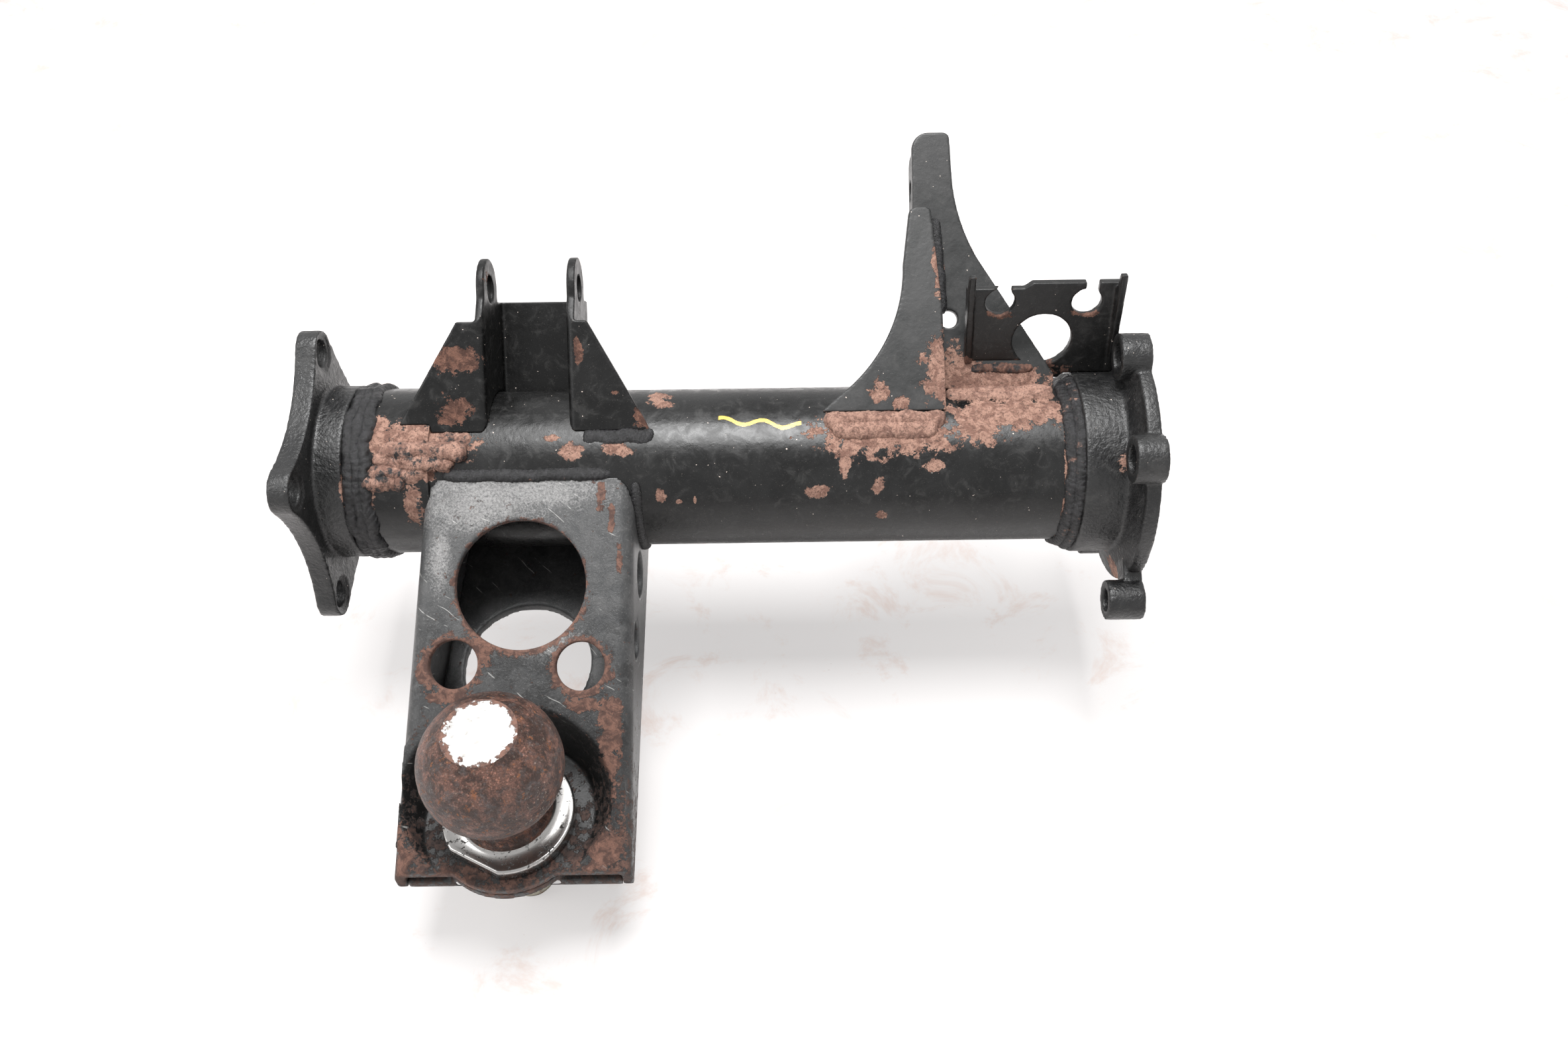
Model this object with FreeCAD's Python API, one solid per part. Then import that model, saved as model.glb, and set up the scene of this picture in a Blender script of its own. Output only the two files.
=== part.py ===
import FreeCAD, Part
import math
import os

# Rear axle housing of a small off-road vehicle with a trailer hitch and ball.
# Frame: X runs along the axle, the inner flange's mating face is at X = 0 and the
# outer flange is on -X. Z is up, parallel to the ball's axis, and -Y is rearward.
# The origin is the centre of the inner flange's mating face. Sizes are in mm.

Vec = FreeCAD.Vector
X_AXIS = Vec(1, 0, 0)
Z_AXIS = Vec(0, 0, 1)
ORIGIN = Vec(0, 0, 0)
FAR = 600.0
SEAT_GAP = 0.05

# Axle tube and its end castings
TUBE_OD = 62.0
TUBE_WALL = 4.5
HOUSING_LENGTH = 323.0
SLEEVE_OD = 65.6
SLEEVE_END_X = -272.0
OUTER_NECK_OD = 68.4
OUTER_NECK_END_X = -304.0
OUTER_PLATE = 8.0
OUTER_BOLT_RADIUS = 49.0
OUTER_BOLT_ANGLES = (39.5, 116.5, 219.5, 322.5)
OUTER_LOBE_RADIUS = 8.7
OUTER_WAIST_RADIUS = 40.0
OUTER_LONG_WAIST_RADIUS = 36.2
OUTER_BOLT_HOLE = 10.5
OUTER_SPOT_FACE_DEPTH = 0.8
OUTER_SPOT_FACE_RADIUS = 7.5
BEARING_SEAT_DIAMETER = 52.0
BEARING_SEAT_DEPTH = 15.0
BEARING_SHOULDER_BORE = 44.0
INNER_NECK_OD = 72.0
INNER_NECK_START_X = -25.0
INNER_RIM_OD = 95.0
INNER_RIM = 5.5
INNER_FLARE = 3.5
INNER_BORE = 53.0
PILOT_BORE = 56.0
PILOT_DEPTH = 18.0
BOSS_ANGLES = (48.0, 103.0, 158.0, 213.0, 268.0)
BOSS_RADIUS = 47.5
BOSS_DIAMETER = 18.0
BOSS_LENGTH = 11.5
BOSS_HOLE = 10.5
BOSS_WEB_SHARE = 0.62
BOSS_WEB = 7.0
ARM_BOSS_ANGLE = -24.0
ARM_BOSS_RADIUS = 57.0
ARM_BOSS_DIAMETER = 15.5
ARM_BOSS_LENGTH = 14.0
ARM_BOSS_HOLE = 9.0

# Shock absorber bracket: one folded sheet, in a plane turned up from the horizontal
SHOCK_TILT = 46.5
SHOCK_SHEET = 3.2
SHOCK_FRONT = 27.0
SHOCK_BACK = -9.8
SHOCK_LEFT_X = -253.5
SHOCK_RIGHT_X = -216.1
SHOCK_FLANGE_TOP = 57.5
SHOCK_BACK_TOP = 66.5
SHOCK_HOLE_UP = 70.6
SHOCK_HOLE_OUT = 11.3
SHOCK_HOLE = 10.5
SHOCK_EAR_RADIUS = 11.5
SHOCK_LEFT_TOE_X = -286.0
SHOCK_RIGHT_TOE_X = -188.0
SHOCK_TOE_UP = 15.3
SHOCK_LEFT_TOP_X = -260.5
SHOCK_RIGHT_TOP_X = -211.5

# Two-plate arm: a long plate with a gusset plate leaning on it
ARM_SHEET = 4.0
ARM_TILT = 40.0
ARM_FRONT = 14.0
ARM_TOP = 128.6
ARM_LEFT_X = -86.4
ARM_FLANGE_DEPTH = 14.0
ARM_FLANGE_FOOT = 52.0
ARM_FLANGE_TOP = 121.0
ARM_FLANGE_CORNER = 5.0
ARM_BOLT_UP = 108.0
ARM_BOLT_IN = 5.0
ARM_BOLT_HOLE = 8.5
ARM_DRAIN_HOLE = 7.0
ARM_DRAIN_AT = (-72.9, 55.6)
GUSSET_TILT = 35.0
GUSSET_FRONT = 26.5
GUSSET_TOP = 96.5

# Guide bracket for the brake hose and cable
GUIDE_TILT = 80.0
GUIDE_SHEET = 3.2
GUIDE_FOOT = (19.3, 27.6)
GUIDE_LEFT_X = -68.6
GUIDE_RIGHT_X = -8.4
GUIDE_HEIGHT = 42.2
GUIDE_LOW_HEIGHT = 40.0
GUIDE_STEP_X = -45.4
GUIDE_NOTCH_RADIUS = 5.6
GUIDE_NOTCH_SLOT = 4.8
GUIDE_SLOT_SHIFT = 1.6
GUIDE_NOTCHES = ((-55.6, 34.3), (-22.9, 34.0))
GUIDE_HOLE_AT = (-38.0, 17.6)
GUIDE_HOLE_RADIUS = 11.3
GUIDE_FLANGE = 6.0
GUIDE_FLANGE_SHEET = 2.6
GUIDE_FLANGE_LEAN = 2.6
GUIDE_TAPER = 1.8

# Trailer hitch: a sloping channel over a flatter lower plate
HITCH_SHEET = 4.0
HITCH_RIGHT_X = -195.0
HITCH_LEFT_X_AT_TUBE = -275.4
HITCH_LEFT_X_AT_END = -281.6
HITCH_SLOPE = 31.0
HITCH_FOLD_RADIUS = 6.0
HITCH_TOP_DISTANCE = 29.7
HITCH_END_DOWN_SLOPE = 153.5
LOWER_SLOPE = 11.6
LOWER_START_Y = 4.0
BALL_X = -240.8
BALL_Y = -125.8
SEAT_Z = -53.4
SEAT_RADIUS = 31.5
NOSE_RADIUS = 28.0
POCKET_RISE = 30.4
POCKET_MOUTH_RADIUS = 51.6
POCKET_MOUTH_SHIFT = -21.7
LARGE_HOLE_X = -236.8
LARGE_HOLE_DOWN_SLOPE = 49.7
LARGE_HOLE = 48.6
LOWER_HOLE_X = -240.6
LOWER_HOLE_Y = -63.5
LOWER_HOLE = 50.0
CHAIN_HOLE = 18.0
CHAIN_HOLES = ((-261.1, 79.0), (-214.2, 80.2))
WALL_HOLES = ((-40.0, -18.7, 18.5), (-67.7, -23.6, 15.3))

# Weld beads
BEAD_SINK = 1.0
OUTER_BEAD_SHIFT = 4.5
OUTER_BEAD_WIDTH = 10.0
OUTER_BEAD_HEIGHT = 2.7
INNER_BEAD_WIDTH = 9.0
INNER_BEAD_HEIGHT = 6.0
SHOCK_BEAD_DROP = 2.5
SEAM_BEAD_RADIUS = 3.4
SEAM_BEAD_LOW = (-76.4, 57.0)
SEAM_BEAD_HIGH = (-78.6, 95.0)
TOP_BEAD_RADIUS = 4.2
TOP_BEAD_BACK_ANGLE = 12.0
TOP_BEAD_INSET = 9.0
SIDE_BEAD_WIDTH = 6.0
SIDE_BEAD_HEIGHT = 4.6
SIDE_BEAD_START = -58.0
SIDE_BEAD_SWEEP = 96.0
LOWER_BEAD_RADIUS = 3.2
LOWER_BEAD_INSET = 12.0
GUIDE_BEAD_RADIUS = 3.2
GUIDE_BEAD_AT = (19.2, 34.2)
GUIDE_BEAD_END_X = -37.0
# Straight beads: the two ends along the axle, the angle up the tube, and the radius
GUSSET_BEAD = (-122.0, -78.0, 80.0, 4.6)
GUSSET_SECOND_BEAD = (-100.0, -75.0, 76.0, 4.0)
ARM_PLATE_BEAD = (-70.0, -33.5, 109.0, 3.6)
# Beads under the shock bracket's flanges: the two ends along the axle, and the radius
SHOCK_LEFT_BEAD = (-290.0, -257.0, 5.0)
SHOCK_RIGHT_BEAD = (-212.0, -188.5, 4.0)

# Ball, lock washer and nut
BALL_DIAMETER = 50.8
BALL_CENTRE_HEIGHT = 39.85
BALL_FLAT = 26.0
NECK_DIAMETER = 30.5
COLLAR_DIAMETER = 48.5
COLLAR = 6.0
COLLAR_ACROSS_FLATS = 44.0
COLLAR_FLAT_ANGLE = -27.0
COLLAR_ROUND = 1.0
NECK_STEP_DIAMETER = 32.9
NECK_STEP = 5.0
SHANK_CHAMFER = 1.6
SHANK_DIAMETER = 19.05
SHANK_LENGTH = 50.8
SHANK_HOLE = 19.6
WASHER_OD = 31.8
WASHER = 4.8
WASHER_GAP = 1.6
WASHER_GAP_LEAN = 30.0
WASHER_GAP_ANGLE = -70.0
NUT_ACROSS_FLATS = 28.6
NUT_HEIGHT = 16.3
NUT_BORE = 19.25
NUT_CHAMFER_ANGLE = 30.0

# Values worked out from the sizes above
TUBE_R = TUBE_OD / 2
TUBE_BORE_R = TUBE_R - TUBE_WALL
SEAT_R = TUBE_R + SEAT_GAP

# Outlines of the arm's two plates; a pair of points is an arc, through the first to the second
ARM_OUTLINE = [(ARM_LEFT_X, SEAT_R), (ARM_LEFT_X, 122.0), ((-84.6, 126.7), (-80.0, ARM_TOP)),
               (-74.2, ARM_TOP), ((-72.2, 127.6), (-71.6, 125.4)), (-71.0, 114.0),
               ((-68.3, 96.0), (-61.2, 79.0)), (-32.4, 34.0), (-32.4, 27.0), (-68.6, 27.0)]
GUSSET_OUTLINE = [(-75.6, 14.0), (-76.1, 55.4), (-79.6, 94.5), ((-80.2, 96.0), (-81.6, GUSSET_TOP)),
                  (-86.0, GUSSET_TOP), ((-87.7, 95.6), (-88.5, 93.4)), (-91.0, 73.8),
                  ((-96.6, 48.0), (-113.0, 26.0)), (-122.6, 17.8), ((-123.4, 16.0), (-122.4, 14.0))]


def polar(radius, angle):
    """Point in the YZ plane, the angle measured up from the rear (-Y) side."""
    turn = math.radians(angle)
    return Vec(0, -radius * math.cos(turn), radius * math.sin(turn))


def rod(x0, x1, radius, centre=ORIGIN):
    """Cylinder along X."""
    return Part.makeCylinder(radius, x1 - x0, Vec(x0, centre.y, centre.z), X_AXIS)


def post(radius, z0, z1, x=BALL_X, y=BALL_Y):
    """Cylinder along Z."""
    return Part.makeCylinder(radius, z1 - z0, Vec(x, y, z0), Z_AXIS)


def block(x0, x1, y0, y1, z0, z1):
    return Part.makeBox(x1 - x0, y1 - y0, z1 - z0, Vec(x0, y0, z0))


def profile(parts):
    """Closed face from a list of points; a tuple of two points ends an arc: (through, end)."""
    edges = []
    here = parts[0]
    for item in parts[1:] + [parts[0]]:
        if isinstance(item, tuple):
            edges.append(Part.Arc(here, item[0], item[1]).toShape())
            here = item[1]
        elif here.distanceToPoint(item) > 1e-6:
            edges.append(Part.LineSegment(here, item).toShape())
            here = item
    return Part.Face(Part.Wire(edges))


def sheet(parts, front, thickness):
    """Plate drawn in local X (along the axle) and Y (up the plate), its front face at z = front."""
    face = profile([Vec(*p, 0) if not isinstance(p[0], tuple) else tuple(Vec(*q, 0) for q in p)
                    for p in parts])
    face.translate(Vec(0, 0, front - thickness))
    return face.extrude(Vec(0, 0, thickness))


def tilt(shape, angle, foot=ORIGIN):
    """Turn a shape drawn flat so that its local Y points up at the angle, then move it."""
    turned = shape.copy()
    turned.rotate(ORIGIN, X_AXIS, angle)
    turned.translate(foot)
    return turned


def round_edges(shape, radius, keep):
    """Fillet the edges that keep() accepts."""
    return shape.makeFillet(radius, [e for e in shape.Edges if keep(e)])


def largest(shape):
    """The biggest solid of a shape, without the scraps that a cut leaves."""
    return max(shape.Solids, key=lambda solid: solid.Volume)


def clear_tube(shape, radius=SEAT_R):
    """Cut a shape back to the outside of the axle tube."""
    return shape.cut(rod(-HOUSING_LENGTH, 0, radius))


def clear_sleeve(shape):
    """Cut a shape back to the outside of the thicker sleeve at the outer end."""
    return shape.cut(rod(-HOUSING_LENGTH, SLEEVE_END_X + SEAT_GAP, SLEEVE_OD / 2 + SEAT_GAP))


def bead_ring(x, width, inner, height, start=0.0, sweep=360.0):
    """Weld bead round the axle: a rounded hump, swept about X from the start angle."""
    left = Vec(x - width / 2, 0, inner)
    right = Vec(x + width / 2, 0, inner)
    crown = Vec(x, 0, inner + height)
    hump = profile([left, (crown, right)])
    hump.rotate(ORIGIN, X_AXIS, 90.0 - start)
    return hump.revolve(ORIGIN, X_AXIS, -sweep)


def bead_line(x0, x1, centre, radius):
    """Weld bead along X with rounded ends."""
    bead = rod(x0, x1, radius, centre)
    for x in (x0, x1):
        bead = bead.fuse(Part.makeSphere(radius, Vec(x, centre.y, centre.z)))
    return bead.removeSplitter()


def axle_tube():
    start = OUTER_NECK_END_X + SEAT_GAP
    end = INNER_NECK_START_X - SEAT_GAP
    return rod(start, end, TUBE_R).cut(rod(start, end, TUBE_BORE_R))


def tube_sleeve():
    start = OUTER_NECK_END_X + SEAT_GAP
    ring = rod(start, SLEEVE_END_X, SLEEVE_OD / 2)
    return ring.cut(rod(start, SLEEVE_END_X, SEAT_R))


def lobed_face(angles, bolt_radius, lobe_radius, waist_radius, long_waist_radius):
    """Flange outline: round lobes joined by shallow concave arcs, a deeper one on a long gap."""
    lobes = [polar(bolt_radius, a) for a in angles]
    gaps = [(angles[(i + 1) % len(angles)] - a) % 360.0 for i, a in enumerate(angles)]
    starts = []
    ends = []
    waists = []
    for i, gap in enumerate(gaps):
        waist = waist_radius if gap < 90.0 else long_waist_radius
        grow = waist - lobe_radius
        projected = bolt_radius * math.cos(math.radians(gap / 2))
        reach = (bolt_radius ** 2 - grow ** 2) / (2 * (projected - grow))
        middle = angles[i] + gap / 2
        centre = polar(reach, middle)
        following = lobes[(i + 1) % len(lobes)]
        starts.append(lobes[i] + (centre - lobes[i]).normalize() * lobe_radius)
        ends.append(following + (centre - following).normalize() * lobe_radius)
        waists.append(polar(waist, middle))
    points = [ends[-1]]
    for i, angle in enumerate(angles):
        points.append((polar(bolt_radius + lobe_radius, angle), starts[i]))
        points.append((waists[i], ends[i]))
    return profile(points)


def outer_flange():
    face_x = -HOUSING_LENGTH
    inner_x = face_x + OUTER_PLATE
    plate = lobed_face(OUTER_BOLT_ANGLES, OUTER_BOLT_RADIUS, OUTER_LOBE_RADIUS, OUTER_WAIST_RADIUS,
                       OUTER_LONG_WAIST_RADIUS)
    plate.translate(Vec(face_x, 0, 0))
    body = plate.extrude(Vec(OUTER_PLATE, 0, 0))
    body = body.fuse(rod(inner_x, OUTER_NECK_END_X, OUTER_NECK_OD / 2))
    for angle in OUTER_BOLT_ANGLES:
        at = polar(OUTER_BOLT_RADIUS, angle)
        body = body.cut(rod(face_x - 1, inner_x + 1, OUTER_BOLT_HOLE / 2, at))
        body = body.cut(rod(inner_x - OUTER_SPOT_FACE_DEPTH, inner_x + OUTER_PLATE,
                            OUTER_SPOT_FACE_RADIUS, at))
    seat_end = face_x + BEARING_SEAT_DEPTH
    body = body.cut(rod(face_x - 1, seat_end, BEARING_SEAT_DIAMETER / 2))
    body = body.cut(rod(seat_end - 1, OUTER_NECK_END_X + 1, BEARING_SHOULDER_BORE / 2))
    return body.removeSplitter()


def inner_flange():
    neck = rod(INNER_NECK_START_X, 0, INNER_NECK_OD / 2)
    rim = rod(-INNER_RIM, 0, INNER_RIM_OD / 2)
    flare = Part.makeCone(INNER_NECK_OD / 2, INNER_RIM_OD / 2 - 2.0, INNER_FLARE,
                          Vec(-INNER_RIM - INNER_FLARE, 0, 0), X_AXIS)
    body = neck.fuse(flare).fuse(rim)
    for angle in BOSS_ANGLES:
        body = body.fuse(boss(angle, BOSS_RADIUS, BOSS_DIAMETER / 2, BOSS_LENGTH))
    body = body.fuse(boss(ARM_BOSS_ANGLE, ARM_BOSS_RADIUS, ARM_BOSS_DIAMETER / 2, ARM_BOSS_LENGTH))
    body = body.cut(rod(INNER_NECK_START_X - 1, 1, INNER_BORE / 2))
    body = body.cut(rod(-PILOT_DEPTH, 1, PILOT_BORE / 2))
    for angle in BOSS_ANGLES:
        body = body.cut(rod(-FAR, 1, BOSS_HOLE / 2, polar(BOSS_RADIUS, angle)))
    body = body.cut(rod(-FAR, 1, ARM_BOSS_HOLE / 2, polar(ARM_BOSS_RADIUS, ARM_BOSS_ANGLE)))
    return body.removeSplitter()


def boss(angle, radius, boss_radius, length):
    """Round bolt boss with a narrower web that joins it to the rim."""
    at = polar(radius, angle)
    round_part = rod(-length, 0, boss_radius, at)
    half = boss_radius * BOSS_WEB_SHARE
    web = block(-BOSS_WEB, 0, -half, half, INNER_BORE / 2 + BOSS_WEB, radius)
    web.rotate(ORIGIN, X_AXIS, 90.0 - angle)
    return round_part.fuse(web)


def outer_flange_weld():
    x = OUTER_NECK_END_X + OUTER_BEAD_SHIFT
    bead = bead_ring(x, OUTER_BEAD_WIDTH, SLEEVE_OD / 2 - BEAD_SINK, OUTER_BEAD_HEIGHT)
    bead = bead.cut(rod(-HOUSING_LENGTH, SLEEVE_END_X, SLEEVE_OD / 2 + SEAT_GAP))
    return bead.cut(rod(-HOUSING_LENGTH, OUTER_NECK_END_X, OUTER_NECK_OD / 2 + SEAT_GAP))


def inner_flange_weld():
    x = INNER_NECK_START_X - BEAD_SINK
    bead = bead_ring(x, INNER_BEAD_WIDTH, TUBE_R - BEAD_SINK, INNER_BEAD_HEIGHT)
    bead = clear_tube(bead)
    return bead.cut(rod(INNER_NECK_START_X, 0, INNER_NECK_OD / 2 + SEAT_GAP))


def shock_gusset(top_x, toe_x, cheek_x):
    """Triangular flange turned out sideways from the front edge of a cheek."""
    return sheet([(cheek_x, SHOCK_FLANGE_TOP), (top_x, SHOCK_FLANGE_TOP), (toe_x, SHOCK_TOE_UP),
                  (cheek_x, SHOCK_TOE_UP)], SHOCK_FRONT, SHOCK_SHEET)


def shock_cheek(x):
    """Side plate with a rounded ear, drawn in local Y (up) and Z (out)."""
    centre = Vec(x, SHOCK_HOLE_UP, SHOCK_HOLE_OUT)
    ear = Part.makeCylinder(SHOCK_EAR_RADIUS, SHOCK_SHEET, centre, X_AXIS)
    stem = block(x, x + SHOCK_SHEET, SHOCK_BACK_TOP, SHOCK_HOLE_UP,
                 SHOCK_HOLE_OUT - SHOCK_EAR_RADIUS, SHOCK_HOLE_OUT + SHOCK_EAR_RADIUS)
    outline = [Vec(x, 0, SHOCK_BACK), Vec(x, 0, SHOCK_FRONT), Vec(x, SHOCK_FLANGE_TOP, SHOCK_FRONT),
               Vec(x, SHOCK_BACK_TOP, SHOCK_HOLE_OUT + SHOCK_EAR_RADIUS),
               Vec(x, SHOCK_BACK_TOP, SHOCK_BACK)]
    cheek = profile(outline).extrude(Vec(SHOCK_SHEET, 0, 0)).fuse(stem).fuse(ear)
    start = Vec(x - 1, SHOCK_HOLE_UP, SHOCK_HOLE_OUT)
    return cheek.cut(Part.makeCylinder(SHOCK_HOLE / 2, SHOCK_SHEET + 2, start, X_AXIS))


def shock_bracket():
    left_cheek = shock_cheek(SHOCK_LEFT_X)
    right_cheek = shock_cheek(SHOCK_RIGHT_X - SHOCK_SHEET)
    back = block(SHOCK_LEFT_X, SHOCK_RIGHT_X, TUBE_BORE_R, SHOCK_BACK_TOP,
                 SHOCK_BACK, SHOCK_BACK + SHOCK_SHEET)
    left = shock_gusset(SHOCK_LEFT_TOP_X, SHOCK_LEFT_TOE_X, SHOCK_LEFT_X + SHOCK_SHEET)
    right = shock_gusset(SHOCK_RIGHT_TOP_X, SHOCK_RIGHT_TOE_X, SHOCK_RIGHT_X - SHOCK_SHEET)
    folded = left_cheek.fuse([right_cheek, back, left, right]).removeSplitter()
    folded = round_edges(folded, SHOCK_SHEET * 0.9, shock_outer_fold)
    return clear_sleeve(clear_tube(tilt(folded, SHOCK_TILT)))


def shock_outer_fold(edge):
    """The four long outer bends of the folded sheet."""
    box = edge.BoundBox
    if box.YLength < 15.0 or box.XLength > 0.1 or box.ZLength > 0.1:
        return False
    outer = (SHOCK_LEFT_X, SHOCK_RIGHT_X)
    inner = (SHOCK_LEFT_X + SHOCK_SHEET, SHOCK_RIGHT_X - SHOCK_SHEET)
    for z, corners in ((SHOCK_BACK, outer), (SHOCK_FRONT, inner)):
        if abs(box.ZMin - z) < 0.1 and min(abs(box.XMin - x) for x in corners) < 0.1:
            return True
    return False


def shock_weld(x0, x1, radius):
    """Bead under the foot of a shock bracket flange."""
    foot = Vec(0, SHOCK_TOE_UP - SHOCK_BEAD_DROP, SHOCK_FRONT)
    bead = bead_line(x0, x1, foot, radius)
    bead = tilt(bead, SHOCK_TILT)
    bead = clear_sleeve(clear_tube(bead))
    slab = block(-FAR, FAR, SHOCK_TOE_UP - SEAT_GAP, FAR, -FAR, SHOCK_FRONT + SEAT_GAP)
    return bead.cut(tilt(slab, SHOCK_TILT))


def arm_plate():
    plate = sheet(ARM_OUTLINE, ARM_FRONT, ARM_SHEET)
    flange = block(ARM_LEFT_X, ARM_LEFT_X + ARM_SHEET, ARM_FLANGE_FOOT, ARM_FLANGE_TOP,
                   ARM_FRONT - ARM_FLANGE_DEPTH, ARM_FRONT - 1.0)
    flange = round_edges(flange, ARM_FLANGE_CORNER, arm_flange_corner)
    plate = plate.fuse(flange).removeSplitter()
    bolt = Vec(ARM_LEFT_X - 1, ARM_BOLT_UP, ARM_FRONT - ARM_FLANGE_DEPTH + ARM_BOLT_IN)
    plate = plate.cut(Part.makeCylinder(ARM_BOLT_HOLE / 2, ARM_SHEET + 2, bolt, X_AXIS))
    drain = Vec(*ARM_DRAIN_AT, ARM_FRONT - ARM_SHEET - 1)
    plate = plate.cut(Part.makeCylinder(ARM_DRAIN_HOLE / 2, ARM_SHEET + 2, drain, Z_AXIS))
    return clear_tube(tilt(plate, ARM_TILT))


def arm_flange_corner(edge):
    box = edge.BoundBox
    return box.XLength > 1.0 and abs(box.ZMin - (ARM_FRONT - ARM_FLANGE_DEPTH)) < 0.1 and box.ZLength < 0.1


def arm_gusset():
    plate = sheet(GUSSET_OUTLINE, GUSSET_FRONT, ARM_SHEET)
    return clear_tube(tilt(plate, GUSSET_TILT))


def arm_seam_weld():
    """Bead along the right edge of the gusset, lying in the corner with the arm plate."""
    low = Vec(*SEAM_BEAD_LOW, ARM_FRONT)
    high = Vec(*SEAM_BEAD_HIGH, ARM_FRONT)
    bead = Part.makeCylinder(SEAM_BEAD_RADIUS, (high - low).Length, low, high - low)
    for end in (low, high):
        bead = bead.fuse(Part.makeSphere(SEAM_BEAD_RADIUS, end))
    above = block(-FAR, FAR, -FAR, FAR, ARM_FRONT + SEAT_GAP, FAR)
    bead = tilt(bead.common(above), ARM_TILT)
    return bead.cut(arm_gusset()).removeSplitter()


def foot_bead(x0, x1, angle, radius):
    """Bead lying on the tube, parallel to the axle."""
    return bead_line(x0, x1, polar(TUBE_R + radius * 0.25, angle), radius)


def arm_gusset_weld():
    bead = foot_bead(*GUSSET_BEAD)
    bead = bead.fuse(foot_bead(*GUSSET_SECOND_BEAD))
    return clear_tube(bead).cut(arm_gusset()).cut(arm_plate()).removeSplitter()


def arm_plate_weld():
    bead = clear_tube(foot_bead(*ARM_PLATE_BEAD))
    for other in (arm_plate(), arm_gusset_weld(), inner_flange_weld()):
        bead = bead.cut(other)
    return bead.removeSplitter()


def keyhole(x, y):
    """Round notch with a narrower slot out of the top edge."""
    below = -2 * GUIDE_SHEET
    around = Part.makeCylinder(GUIDE_NOTCH_RADIUS, 3 * GUIDE_SHEET, Vec(x, y, below), Z_AXIS)
    middle = x + GUIDE_SLOT_SHIFT
    half = GUIDE_NOTCH_SLOT / 2
    return around.fuse(block(middle - half, middle + half, y, FAR, below, GUIDE_SHEET))


def guide_flange(x, lean):
    """Side flange that widens towards the top, follows a leaning edge and ends in a small hook."""
    foot = 1.0
    top = GUIDE_HEIGHT + GUIDE_FLANGE
    shoulder = GUIDE_LOW_HEIGHT - 1.0
    side = [Vec(0, foot, -GUIDE_SHEET), Vec(0, foot, 0), Vec(0, top, GUIDE_FLANGE),
            Vec(0, top, GUIDE_FLANGE - GUIDE_FLANGE_SHEET), Vec(0, shoulder, 0),
            Vec(0, shoulder, -GUIDE_SHEET)]
    flange = profile(side).extrude(Vec(GUIDE_FLANGE_SHEET, 0, 0))
    flange.rotate(ORIGIN, Z_AXIS, lean)
    flange.translate(Vec(x, 0, 0))
    return flange


def guide_bracket():
    foot_x = GUIDE_LEFT_X + GUIDE_TAPER
    outline = [(foot_x, 0.5), (GUIDE_LEFT_X, GUIDE_LOW_HEIGHT), (GUIDE_STEP_X - 1.5, GUIDE_LOW_HEIGHT),
               (GUIDE_STEP_X + 1.5, GUIDE_HEIGHT), (GUIDE_RIGHT_X - GUIDE_TAPER, GUIDE_HEIGHT),
               (GUIDE_RIGHT_X, 0.0)]
    plate = sheet(outline, 0.0, GUIDE_SHEET)
    back = Vec(*GUIDE_HOLE_AT, -2 * GUIDE_SHEET)
    plate = plate.cut(Part.makeCylinder(GUIDE_HOLE_RADIUS, 3 * GUIDE_SHEET, back, Z_AXIS))
    for x, y in GUIDE_NOTCHES:
        plate = plate.cut(keyhole(x, y))
    for x in (foot_x, GUIDE_RIGHT_X - GUIDE_FLANGE_SHEET):
        plate = plate.fuse(guide_flange(x, GUIDE_FLANGE_LEAN))
    plate = tilt(plate.removeSplitter(), GUIDE_TILT, Vec(0, *GUIDE_FOOT))
    plate = clear_tube(plate).cut(rod(INNER_NECK_START_X, 0, INNER_NECK_OD / 2 + SEAT_GAP))
    return largest(plate.cut(inner_flange()).cut(arm_plate()).cut(inner_flange_weld()))


def guide_weld():
    """Bead along the guide bracket where it stands on the arm plate."""
    foot = Vec(0, *GUIDE_BEAD_AT)
    bead = bead_line(GUIDE_LEFT_X + GUIDE_BEAD_RADIUS, GUIDE_BEAD_END_X, foot, GUIDE_BEAD_RADIUS)
    others = (guide_bracket(), arm_plate(), inner_flange(), inner_flange_weld(), arm_plate_weld())
    for other in others:
        bead = bead.cut(other)
    return largest(clear_tube(bead))


def slope_point(down, depth=0.0):
    """Point on the hitch's sloping top surface, at a distance down it and a depth below it."""
    turn = math.radians(HITCH_SLOPE)
    along = Vec(0, -math.cos(turn), -math.sin(turn))
    normal = Vec(0, -math.sin(turn), math.cos(turn))
    return normal * (HITCH_TOP_DISTANCE - depth) + along * down


def lower_point(y, depth=0.0):
    """Point on the lower plate's top surface at y, moved down by a depth."""
    turn = math.radians(LOWER_SLOPE)
    seat = Vec(0, BALL_Y, SEAT_Z - HITCH_SHEET)
    z = seat.z + (y - seat.y) * math.tan(turn)
    return Vec(0, y, z - depth / math.cos(turn))


def hitch_end_y():
    return slope_point(HITCH_END_DOWN_SLOPE).y


def left_x(y):
    """The left wall runs out a little towards the ball end."""
    start = slope_point(TUBE_R).y
    share = (y - start) / (hitch_end_y() - start)
    return HITCH_LEFT_X_AT_TUBE + share * (HITCH_LEFT_X_AT_END - HITCH_LEFT_X_AT_TUBE)


def hitch_planform(inset):
    """Tapering plan outline of the hitch as a tall block, moved in by an inset."""
    y0 = LOWER_START_Y
    y1 = hitch_end_y()
    corners = [Vec(left_x(y0) + inset, y0, -FAR), Vec(left_x(y1) + inset, y1, -FAR),
               Vec(HITCH_RIGHT_X - inset, y1, -FAR), Vec(HITCH_RIGHT_X - inset, y0, -FAR)]
    return profile(corners).extrude(Vec(0, 0, 2 * FAR))


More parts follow.
